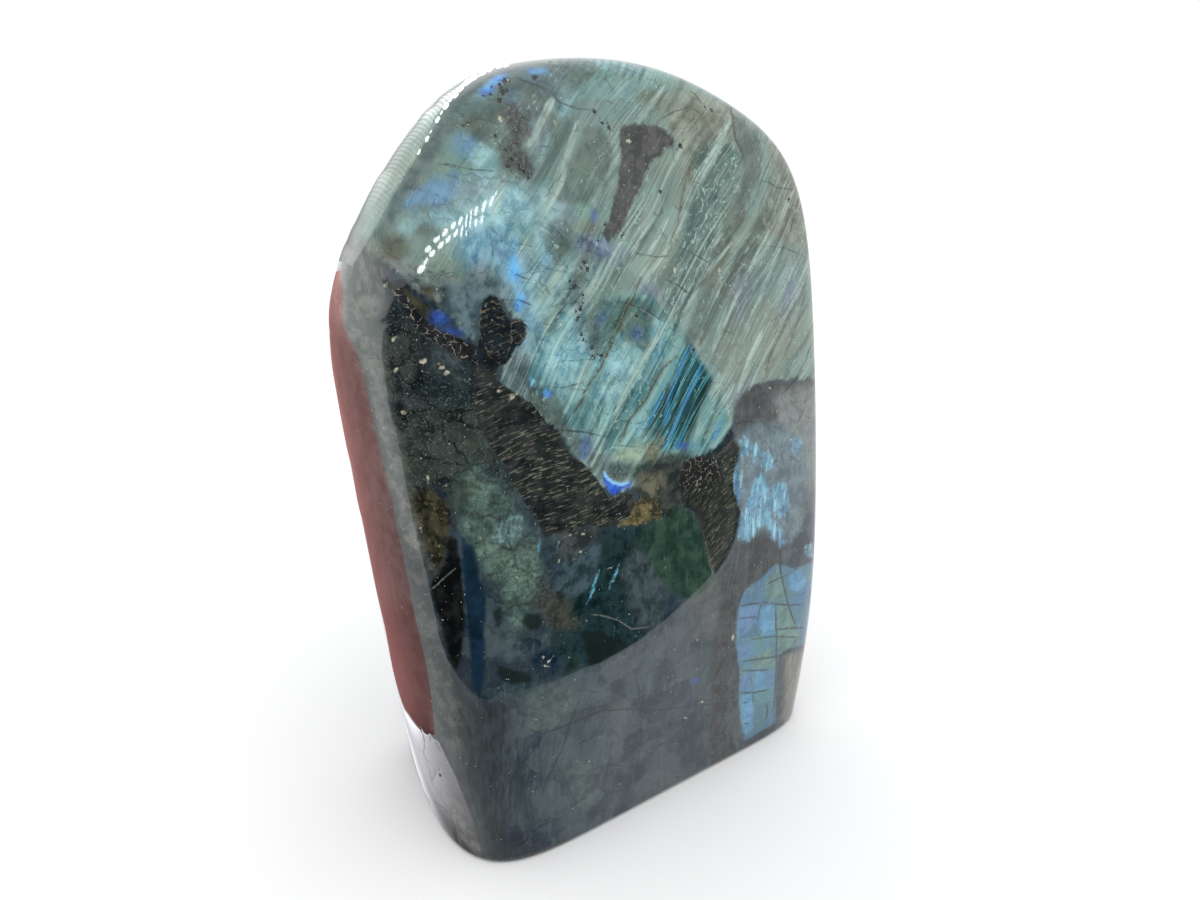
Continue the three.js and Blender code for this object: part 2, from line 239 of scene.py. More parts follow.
        [(20.2, 142.9), (26.4, 146.5), (32.5, 146.3), (33.9, 142.9), (32.9, 137.7), (29.4, 131.5), (26.7, 124.5), (23.3, 116.6), (19.6, 108.2), (16.6, 107.1), (13.7, 107.6), (14.5, 113.5), (17.3, 121), (20, 129.6), (21.3, 137)],
        [(1.1, 95.7), (9.2, 96.5), (12.1, 92.9), (10.3, 86.1), (7.1, 83.6), (1.7, 83.1), (-0.9, 86), (-0.1, 91)],
    ],
    "warm": [
        [(15.9, 152.2), (20.5, 155.5), (26.1, 155.5), (32.3, 154.8), (32.6, 150.3), (29.8, 145.2), (26.8, 140.2), (23.8, 135.5), (20.3, 136.4), (18.3, 140.4), (17.3, 144.2), (14.9, 146.9)],
        [(45.6, 165.2), (50.1, 162.3), (54.4, 159), (56.7, 155.5), (59.3, 152.3), (61, 147.9), (62.9, 143.1), (64.5, 137.8), (66.1, 132.5), (65.8, 133.1), (52.6, 126.7), (49.9, 128.3), (41.9, 128.8), (37.9, 130.4), (38.8, 135.1), (41, 140), (41.6, 145.9), (40.8, 150.5)],
    ],
    "shine": [
        [(-15.8, 102.7), (-12.7, 108.5), (-8.8, 115.9), (-4.1, 118.9), (0.1, 117.2), (-1.9, 109.6), (0.2, 102), (-1.9, 95.6), (-4.8, 89.9), (-8.1, 90.6), (-12.8, 95), (-15.1, 98.6)],
        [(0.2, 104), (7.3, 102.6), (11.5, 101.9), (9.2, 95.5), (4.7, 91.8), (1.2, 94.1), (-0.6, 98.8)],
        [(-25.8, 124.9), (-19.2, 128.5), (-10.4, 129.5), (-8.1, 124.7), (-10.4, 116.1), (-11, 108.6), (-8.9, 102.9), (-12, 98.8), (-14.7, 102.7), (-16.7, 108), (-20.3, 112.6), (-25.5, 113.7), (-27.9, 117.2), (-27.5, 121.5)],
    ],
    "frost": [
        [(34.3, 82.2), (38.8, 85), (44.1, 85.5), (50.4, 84.1), (54.6, 80.6), (57.2, 74), (56.2, 66.3), (56.1, 58.5), (52.2, 55.7), (48.2, 57.6), (43.6, 59.5), (40.1, 58.3), (37.2, 57.1), (35.4, 62.6), (33.6, 70.9), (33.1, 76.1)],
    ],
    "gloom": [
        [(-31.1, 36.1), (-28.3, 31.8), (-25.1, 27.8), (-20.5, 28.8), (-18.1, 23.4), (-19.1, 13.6), (-18.3, 5.8), (-19.8, -2.2), (-18.5, -10.7), (-12.2, -12.2), (-7.5, -11.9), (-2.6, -11.8), (3.1, -24.3), (-0.7, -25.3), (-4.4, -26.3), (-7.9, -26.5), (-11.8, -27.4), (-15.6, -27.7), (-19.2, -27.6), (-22.6, -27.7), (-26.1, -28.1), (-29.6, -27.4), (-24.9, -10.8), (-26, -2.5), (-28, 3.9), (-29.7, 8.8), (-32.2, 14.2), (-32.2, 22.4)],
    ],
    "mist": [
        [(-58.6, 128.7), (-44.2, 117), (-41.3, 115.8), (-36.4, 112.9), (-32.5, 110), (-27.7, 110.4), (-22.5, 114.1), (-18.7, 110.5), (-20.9, 107.6), (-23.4, 104.2), (-24.5, 99.3), (-29, 101.7), (-34.6, 106.6), (-38.8, 107), (-43.7, 107.8), (-47.4, 111.2), (-47.5, 115)],
    ],
    "umber": [
        [(-32.8, 109.4), (-30.8, 108.8), (-30.2, 106), (-31, 102.3), (-32.7, 102.9), (-33.3, 106)],
        [(-29.8, 109.2), (-28.1, 109), (-27.8, 106.1), (-28.6, 103.1), (-29.9, 104.8)],
        [(-39.2, 106.7), (-37.5, 107.3), (-36.8, 104.9), (-38.1, 101.6), (-39.7, 101.7)],
    ],
    "duskband": [
        [(-22.1, 150.2), (-24.7, 148.7), (-26.6, 144.6), (-28.5, 141), (-29.9, 137.9), (-31.6, 134.3), (-32.9, 131.2), (-34.7, 128.4), (-36.8, 124.9), (-39.3, 120), (-41.7, 116.9), (-37.9, 117.9), (-35.8, 122.2), (-32.7, 126), (-30.4, 129.7), (-28, 134.5), (-25.7, 139.7), (-23.3, 144.2), (-21.6, 147.5)],
    ],
    "inkb": [
        [(18.3, 79.6), (36.8, 84.1), (39.3, 62.4), (29.7, 46.1), (22.7, 54.2), (17.6, 68.5)],
    ],
    "egg": [
        [(-40.4, 110.9), (-36.5, 109.8), (-33.3, 106), (-30, 103.1), (-24.2, 100.1), (-23.7, 94.5), (-26.4, 94.1), (-27.6, 95.5), (-32.2, 98.5), (-36.2, 102.2), (-39.5, 107.4)],
        [(18.9, 75.1), (20.4, 77.8), (23.7, 79.1), (27.7, 79), (30.6, 77.1), (31.3, 72.9), (28.6, 70.7), (24.8, 69.7), (20.6, 70.1), (18.5, 72.9)],
    ],
    "gem": [
        [(-10.5, 60.9), (-8.1, 62.7), (-3.4, 62.5), (0.6, 59.2), (-0.2, 53.4), (-2.6, 50), (-6.8, 49.3), (-9.7, 51.8), (-11, 56.8)],
    ],
    "fan": [
        [(-11.1, 55.3), (-9.9, 52.5), (-8.9, 50.4), (-7.3, 48.1), (-5.9, 45.3), (-3.3, 44), (-3.7, 42.3), (-7.6, 42.4), (-11, 43.8), (-12.6, 47.1), (-13.2, 50.1), (-12.6, 52.8)],
    ],
    "void": [
        [(-3.3, 41.5), (0.3, 40.9), (5.1, 38.2), (7.9, 36.3), (2, 33.6), (-1.1, 33.2), (-2.7, 37.1)],
        [(-20.9, 35.9), (-18.4, 35.5), (-14.9, 33.8), (-14.3, 32.1), (-18, 31.9), (-20.6, 33.2)],
        [(-15.1, 46.9), (-12.6, 46.9), (-11.6, 45.2), (-12.6, 43.4), (-14.7, 43.5), (-15.9, 45.3)],
        [(-20.8, 49.2), (-19.8, 48.7), (-19.6, 45.7), (-20.6, 44.9), (-21.4, 47.1)],
    ],
    "mint": [
        [(-24.2, 63.6), (-22.3, 63.1), (-20.4, 61), (-17.7, 59.2), (-15.4, 60.7), (-12.6, 60.9), (-12.2, 55.9), (-13.4, 51.8), (-16.2, 52.1), (-18.6, 54), (-20.7, 55.8), (-22.7, 58.8)],
        [(-25.4, 74.5), (-23.5, 75.6), (-21.7, 72.9), (-22.5, 69.8), (-24.7, 70.7)],
    ],
    "shard": [
        [(-21.7, 63.1), (-20.7, 64.8), (-19.6, 66.6), (-17.6, 67.2), (-15.6, 67.2), (-15.5, 65.1), (-16, 62.8), (-17.3, 61.6), (-18.3, 61.5), (-20, 62), (-20.9, 62.1)],
    ],
    "brownblock": [
        [(22.3, 44.7), (26.8, 48), (31.7, 50.3), (32.7, 43.2), (31.6, 33.1), (24.2, 34.2)],
    ],
    "tileazure": [
        [(39.9, 15.6), (43.7, 15.5), (45.1, 9.8), (45.1, 4.8), (43.4, 2.8), (41.5, 7.7)],
        [(44.3, 39.9), (48.2, 39.6), (49, 31.6), (45.7, 31.6), (43.5, 35.3)],
        [(52.8, 47.2), (56.3, 47.8), (58.8, 44.7), (56.8, 41.8), (53.2, 42.9)],
        [(44.2, 21.8), (46.5, 21.6), (47.5, 16.4), (44.9, 16.4)],
    ],
    "tileblue": [
        [(37.3, 40.5), (43.7, 40.3), (42.8, 35.9), (38.2, 31.9), (37, 36.1)],
        [(37.4, 31), (41.4, 31), (43.8, 25.9), (38.7, 26.4)],
        [(46.9, 21.2), (50.2, 21), (51, 15.5), (47.9, 16)],
        [(39.2, 21.8), (42.3, 22), (43.5, 16.8), (40, 17.3)],
    ],
    "veilpatch": [
        [(9.6, 74.1), (12.5, 75.8), (14.9, 74.8), (15.5, 71.7), (14.6, 69.1), (11.6, 69.3), (9.7, 71.1)],
    ],
    "rustpatch": [
        [(11.2, 78.4), (12.6, 81), (14.5, 83.1), (16, 82.5), (14.3, 79.2), (12.9, 76.6)],
    ],
    "mauvegrey": [
        [(-16.8, 90.5), (-13, 92.7), (-8.9, 90.2), (-5, 86.9), (-1.8, 83.5), (1.7, 82.3), (0.4, 79.4), (-2.2, 77.4), (-5.2, 79.9), (-8.1, 83.9), (-11.9, 87)],
        [(-10.5, 97.8), (-7.7, 96.8), (-6.9, 94.5), (-8.9, 92.9), (-11.3, 93.9), (-11.6, 96.2)],
        [(-18.4, 98.4), (-15.8, 99.5), (-12.8, 98.8), (-10.5, 97), (-8.9, 92.9), (-10.9, 89.4), (-14, 90), (-17, 91.8), (-18.7, 95.1)],
        [(-7.3, 87.9), (-1.8, 86), (3, 83.1), (6.2, 80.2), (4.5, 77.3), (0.5, 74), (-1.7, 76.2), (-5.2, 81.1)],
    ],
    "calm": [
        [(-45.2, 146.9), (-43.4, 150.2), (-41.4, 154.2), (-38.4, 155.8), (-35.5, 158.8), (-32.2, 161.1), (-28.5, 163.2), (-24.6, 167.9), (-20.2, 168.7), (-15.6, 168.8), (-10.8, 170.2), (-11.9, 170.8), (-11.4, 150.6), (-12.1, 146.8), (-14.8, 135), (-18.4, 120.3), (-22.6, 109.2), (-40.3, 106.8), (-43.4, 109.3), (-46.9, 112.3), (-61.5, 123.8), (-59.3, 126.4), (-58.7, 130.5), (-55.9, 131.6), (-54.5, 134.2), (-53.2, 136.7), (-52.2, 139.6), (-50, 140.1), (-49, 142.4), (-48.1, 144.9), (-46.2, 144.9)],
    ],
    "cornerlow": [
        [(-36.9, 66.7), (-35.5, 59.4), (-34.1, 52.3), (-32.5, 41.4), (-31.1, 37), (-29.5, 33.5), (-28.5, 28), (-27.8, 22.2), (-29, 15), (-31.3, 13.4), (-33, 16.5), (-34.5, 18.1), (-35.1, 28.1), (-36.1, 37.8), (-37.5, 45.9), (-38.8, 56.3), (-40, 65.7)],
    ],
    "flank": [
        [(-65.2, 113.1), (-64, 116), (-48.7, 109.8), (-48, 102.2), (-46.4, 100.2), (-45.2, 97.1), (-44.1, 92.6), (-43.2, 84.8), (-41.9, 78), (-40.9, 73.1), (-40.2, 65.7), (-38.8, 56.3), (-37.5, 45.9), (-36.1, 37.8), (-35.1, 28.1), (-34.5, 18.1), (-32.6, 14), (-30.6, 8.6), (-29, 3.7), (-27.3, -1.4), (-25.7, -8.1), (-24.9, -12.2), (-26.7, -27.9), (-29.8, -26.8), (-32.7, -26.1), (-35.4, -25.7), (-39.2, -23.4), (-42.8, -20.2), (-46.2, -17.1), (-49.2, -12.9), (-51.3, -6.6), (-53.2, -0.5), (-54.9, 5.5), (-56.2, 11.5), (-58.7, 15.8), (-58.8, 20.3), (-58, 26.3), (-58.4, 30.5), (-60, 33.6), (-60.4, 38.1), (-60.8, 42.7), (-62.2, 46.4), (-62.5, 51.2), (-63.9, 55.2), (-64, 60.2), (-65.3, 64.7), (-65.1, 69.7), (-66.2, 74.5), (-65.9, 79.5), (-66.7, 84.5), (-66.3, 89.4), (-67, 94.5), (-66.6, 99.3), (-66.6, 104.2), (-66, 108.8)],
    ],
    "bluesheen": [
        [(-19.7, 15.7), (-17.8, 19), (-16.1, 17.3), (-16.6, 10.8), (-14.9, 2.6), (-12.2, -3.6), (-15.8, -4.4), (-19.3, -0), (-20.9, 5.9), (-20.4, 11.6)],
    ],
    "yolk": [
        [(-22.6, 108.3), (-19.9, 109.1), (-18, 106.5), (-17.1, 104), (-14.5, 104.6), (-13.5, 101.7), (-16.2, 98.6), (-18.1, 95.9), (-21, 94.6), (-23.9, 96.7), (-23.8, 101.3), (-23, 104.2)],
    ],
    "olivemist": [
        [(-38, 109.3), (-35.9, 108.9), (-34.2, 107.3), (-31.9, 105.4), (-31.7, 103.7), (-33.4, 103.6), (-35.3, 105.6), (-37.3, 107.6)],
        [(-40.5, 116.7), (-37.6, 118.2), (-35.6, 116.9), (-34.6, 114.6), (-36.4, 112.9), (-39.2, 113.6)],
        [(-33.2, 119.8), (-30.9, 119.9), (-30.2, 118.3), (-32.2, 117.1), (-33.5, 117.9)],
    ],
    "mistblue": [
        [(-29.1, 109.3), (-24.7, 110.7), (-21.9, 111.7), (-19.4, 109.9), (-21.9, 108.2), (-23.4, 104.5), (-24.2, 100.6), (-26.2, 101.2), (-28.3, 103.5), (-29.6, 105.8)],
    ],
    "frostpale": [
        [(45.5, 93.2), (53.1, 94.5), (56.9, 94.9), (72.3, 98.1), (72.8, 91.9), (73.2, 85.5), (73.6, 79.1), (73.9, 72.7), (60.3, 69.9), (57.7, 66.2), (54.5, 71.5), (52.7, 79.1), (49.8, 84.1), (45.9, 86.5)],
        [(51.6, 64), (54.9, 65.3), (57.2, 63.1), (55.3, 60.1), (52.6, 58.8)],
    ],
    "veil2": [
        [(-4.5, 118.4), (-2, 120.3), (-0.3, 119), (-1.6, 114.5), (-2.8, 109.5), (-1.1, 105.8), (0.7, 102.1), (-0.6, 99.2), (-3.1, 99.8), (-4.8, 103.6), (-5.7, 108.3), (-5.7, 113.9)],
    ],
    "flanklow": [
        [(-60.9, 39), (-59.7, 36.7), (-43.7, 46.8), (-38.2, 48.7), (-37.5, 45.9), (-36.1, 37.8), (-35.1, 28.1), (-34.5, 18.1), (-32.6, 14), (-30.6, 8.6), (-29, 3.7), (-27.3, -1.4), (-25.7, -8.1), (-24.9, -12.2), (-26.7, -27.9), (-29.8, -26.8), (-32.7, -26.1), (-35.4, -25.7), (-39.2, -23.4), (-42.8, -20.2), (-46.2, -17.1), (-49.2, -12.9), (-51.3, -6.6), (-53.2, -0.5), (-54.9, 5.5), (-56.2, 11.5), (-58.7, 15.8), (-57.6, 19.7), (-57.9, 22.1), (-58.1, 24.9), (-58.1, 28), (-59.1, 30), (-59.9, 32.5), (-60.6, 35.5)],
    ],
    "nook": [
        [(7.7, 76.3), (11.9, 78), (16.8, 79.2), (22.4, 79.1), (20, 73.8), (20.7, 68.3), (16.7, 64), (13.6, 67.4), (8.7, 70.7)],
        [(24.1, 77.3), (29.9, 79.4), (34.3, 82.7), (36.1, 79.8), (34.5, 76.6), (27.8, 76.7)],
    ],
}
ELLIPSES = {
    "blue": [
        ((-10.74, 151.12), (2.61, 1.07), -2),
        ((-13.76, 149.74), (3.13, 1.18), -0),
        ((-24.82, 133.65), (1.72, 1.57), 11),
        ((-23.19, 116.45), (2.73, 3.55), -2),
        ((-20.01, 118.29), (2.10, 2.88), -1),
        ((-17.90, 114.71), (2.67, 4.40), -4),
        ((-15.74, 109.96), (2.20, 3.34), -3),
        ((-13.90, 104.29), (1.53, 2.59), 5),
        ((-14.88, 100.69), (0.95, 1.11), 4),
        ((-10.98, 117.85), (1.46, 3.88), -13),
        ((-8.89, 73.99), (2.07, 1.19), -41),
        ((9.31, 91.56), (1.87, 1.88), 2),
        ((13.39, 100.54), (1.91, 2.51), 21),
        ((0.09, 120.24), (2.13, 1.33), 9),
        ((-29.44, 124.71), (3.88, 1.89), 30),
        ((-34.24, 123.04), (1.72, 1.13), 32),
        ((-23.20, 115.76), (3.41, 3.56), -2),
        ((-17.90, 114.71), (3.20, 5.14), -4),
        ((-16.91, 145.08), (1.29, 1.23), 12),
    ],
    "royal": [
        ((-29.96, 103.57), (1.41, 0.97), -20),
        ((-28.30, 101.49), (1.62, 0.74), -7),
        ((-1.20, 126.09), (0.53, 1.07), 1),
        ((20.31, 80.47), (1.54, 0.76), -1),
        ((25.71, 23.75), (0.92, 0.65), 2),
    ],
    "glint": [
        ((-13.59, 93.09), (0.39, 0.75), 12),
        ((-12.37, 60.42), (0.20, 0.92), -5),
        ((-1.09, 49.84), (0.19, 1.28), -21),
        ((-0.55, 51.74), (0.14, 0.85), -20),
        ((3.20, 51.26), (0.14, 0.86), -20),
        ((4.33, 53.34), (0.17, 0.86), -21),
        ((41.05, 68.14), (0.37, 1.94), -11),
        ((39.30, 67.26), (0.30, 2.42), -10),
        ((42.75, 70.27), (0.30, 1.76), 4),
    ],
    "green": [
        ((-24.35, 130.47), (4.49, 2.75), 11),
        ((-7.83, 152.28), (5.83, 1.65), 6),
        ((8.94, 157.11), (8.77, 1.87), 5),
        ((9.09, 104.75), (3.22, 1.63), 31),
        ((-5.08, 128.91), (4.89, 4.79), 11),
        ((-24.30, 140.69), (0.86, 3.63), -37),
        ((-27.34, 134.26), (0.95, 2.99), -36),
    ],
    "cream": [
        ((23.93, 150.12), (6.66, 4.96), -2),
        ((42.96, 107.62), (8.62, 8.24), -11),
        ((34.55, 102.41), (5.82, 7.30), -21),
        ((47.76, 142.80), (3.86, 6.48), 12),
        ((8.50, 83.77), (2.09, 2.34), -18),
    ],
    "rust": [
        ((-24.29, 136.93), (1.85, 1.01), 30),
        ((-8.77, 141.85), (0.91, 2.82), -6),
        ((-34.18, 118.57), (4.36, 2.13), 9),
        ((13.18, 153.57), (3.22, 1.94), 8),
        ((21.44, 150.51), (3.06, 2.32), -13),
    ],
    "sky": [
        ((-19.62, 147.71), (1.78, 1.01), 49),
        ((-21.20, 145.39), (1.45, 0.63), 59),
        ((-10.67, 91.10), (0.48, 0.46), 2),
        ((-16.82, 113.43), (0.90, 2.39), -3),
        ((-15.94, 108.12), (0.55, 1.48), -4),
        ((-12.43, 151.05), (1.49, 0.71), 1),
    ],
    "lav": [
        ((-23.73, 126.31), (2.61, 1.26), 37),
        ((-0.54, 119.39), (4.82, 2.22), -10),
        ((-8.84, 120.73), (2.77, 1.47), 9),
        ((-10.26, 95.33), (1.98, 1.34), 3),
        ((35.58, 91.50), (1.66, 3.12), -19),
        ((-6.87, 126.74), (1.50, 2.75), -9),
        ((-11.81, 141.50), (1.04, 4.05), -11),
        ((10.56, 112.81), (2.32, 1.81), 7),
        ((-19.42, 107.76), (1.82, 1.07), 6),
        ((33.99, 115.74), (2.36, 5.22), -13),
        ((48.52, 117.46), (2.08, 5.03), -10),
    ],
    "aqua": [
        ((-7.66, 98.17), (3.23, 2.50), 4),
        ((-3.36, 100.78), (2.30, 3.12), 4),
        ((3.10, 97.03), (3.76, 2.62), 3),
        ((1.62, 91.51), (2.63, 2.02), 2),
        ((-5.03, 105.09), (2.06, 1.53), 5),
        ((13.29, 105.10), (2.15, 1.86), 5),
        ((8.72, 85.04), (1.87, 2.11), 0),
        ((0.41, 156.78), (9.73, 1.48), 10),
        ((-21.59, 131.86), (1.77, 2.08), 11),
        ((-31.19, 119.82), (4.43, 1.14), 18),
        ((-7.96, 146.22), (2.19, 2.96), -7),
        ((-22.93, 142.93), (0.73, 1.87), -46),
        ((-17.08, 124.90), (2.57, 2.11), 10),
        ((-20.31, 122.42), (1.61, 1.74), 9),
    ],
    "drab": [
        ((-24.12, 138.06), (2.18, 0.97), 24),
        ((-4.45, 117.12), (1.85, 1.69), 8),
        ((-28.36, 120.84), (0.89, 1.57), 34),
        ((-8.77, 141.85), (0.91, 2.82), -6),
        ((-34.18, 118.57), (3.69, 1.47), 9),
        ((-21.95, 131.27), (2.29, 1.21), 11),
        ((5.73, 83.97), (0.90, 3.82), -26),
        ((11.96, 151.06), (3.62, 2.01), 7),
        ((21.44, 150.51), (3.06, 2.32), -13),
        ((-2.43, 123.25), (2.08, 1.13), 9),
    ],
    "navyspot": [
        ((-17.10, 142.97), (0.83, 0.86), 13),
        ((8.41, 103.88), (1.38, 1.02), 5),
        ((-2.63, 80.09), (1.29, 2.23), -10),
        ((0.84, 106.41), (0.45, 1.89), -25),
        ((-18.97, 116.16), (0.91, 0.88), 8),
    ],
    "chip": [
        ((-33.24, 96.14), (0.66, 0.33), 27),
        ((-30.36, 95.82), (0.35, 0.25), 1),
        ((-29.01, 94.18), (0.52, 0.39), 31),
        ((-29.86, 95.22), (0.43, 0.22), 31),
        ((-38.15, 94.57), (0.26, 0.58), -30),
        ((-37.95, 100.25), (0.21, 0.58), -51),
        ((-37.13, 87.08), (0.55, 0.46), -1),
        ((-17.22, 90.33), (0.76, 0.38), 39),
        ((-19.81, 91.18), (0.26, 0.24), 2),
        ((-8.39, 57.35), (0.26, 0.23), -6),
        ((-4.98, 57.50), (0.20, 0.20), -6),
        ((-3.65, 58.81), (0.19, 0.18), -6),
        ((-4.87, 56.52), (0.22, 0.18), -6),
        ((2.35, 54.45), (0.20, 0.19), -7),
        ((3.15, 54.58), (0.15, 0.14), -7),
        ((-2.25, 43.70), (0.21, 0.19), -9),
        ((5.85, 46.85), (0.19, 0.18), -8),
        ((-11.60, 37.09), (0.30, 0.15), -38),
        ((-10.33, 35.99), (0.32, 0.21), 24),
        ((-9.49, 36.97), (0.22, 0.32), -10),
        ((-10.97, 34.96), (0.42, 0.18), -20),
        ((-12.22, 36.07), (0.20, 0.16), -9),
        ((36.01, 32.99), (0.30, 0.52), -10),
        ((17.05, 117.56), (0.16, 0.65), 16),
        ((6.14, 141.43), (0.67, 0.30), -0),
        ((-9.03, 141.42), (0.23, 0.62), 4),
        ((28.32, 119.17), (0.24, 0.57), 15),
        ((-19.08, 139.73), (0.29, 0.44), 12),
        ((-7.64, 62.07), (0.22, 0.16), 26),
        ((-6.81, 62.42), (0.22, 0.16), 21),
        ((-5.75, 62.64), (0.24, 0.15), 10),
        ((-4.47, 62.85), (0.25, 0.15), -5),
        ((-3.18, 62.64), (0.24, 0.15), -14),
        ((-8.68, 60.51), (0.15, 0.24), -5),
        ((-8.27, 61.30), (0.15, 0.21), -5),
        ((-35.11, 64.73), (0.20, 0.47), 22),
        ((-33.22, 74.98), (0.19, 0.76), 8),
        ((-29.78, 73.54), (0.22, 0.17), -0),
        ((50.87, 81.77), (0.38, 0.23), 16),
        ((46.26, 88.45), (0.22, 0.28), 1),
        ((43.65, 94.11), (0.30, 0.20), 2),
        ((-39.32, 109.01), (0.13, 0.19), -3),
        ((-7.96, 104.25), (0.14, 0.22), 5),
        ((-1.46, 99.54), (0.21, 0.15), -25),
        ((-4.26, 102.26), (0.21, 0.14), 5),
        ((-32.47, 54.96), (0.15, 0.15), 4),
        ((28.25, 17.10), (0.35, 0.25), -14),
        ((23.96, 13.72), (0.38, 0.18), -32),
        ((25.56, 34.23), (0.23, 0.20), -10),
        ((25.78, 26.67), (0.25, 0.23), -12),
    ],
}
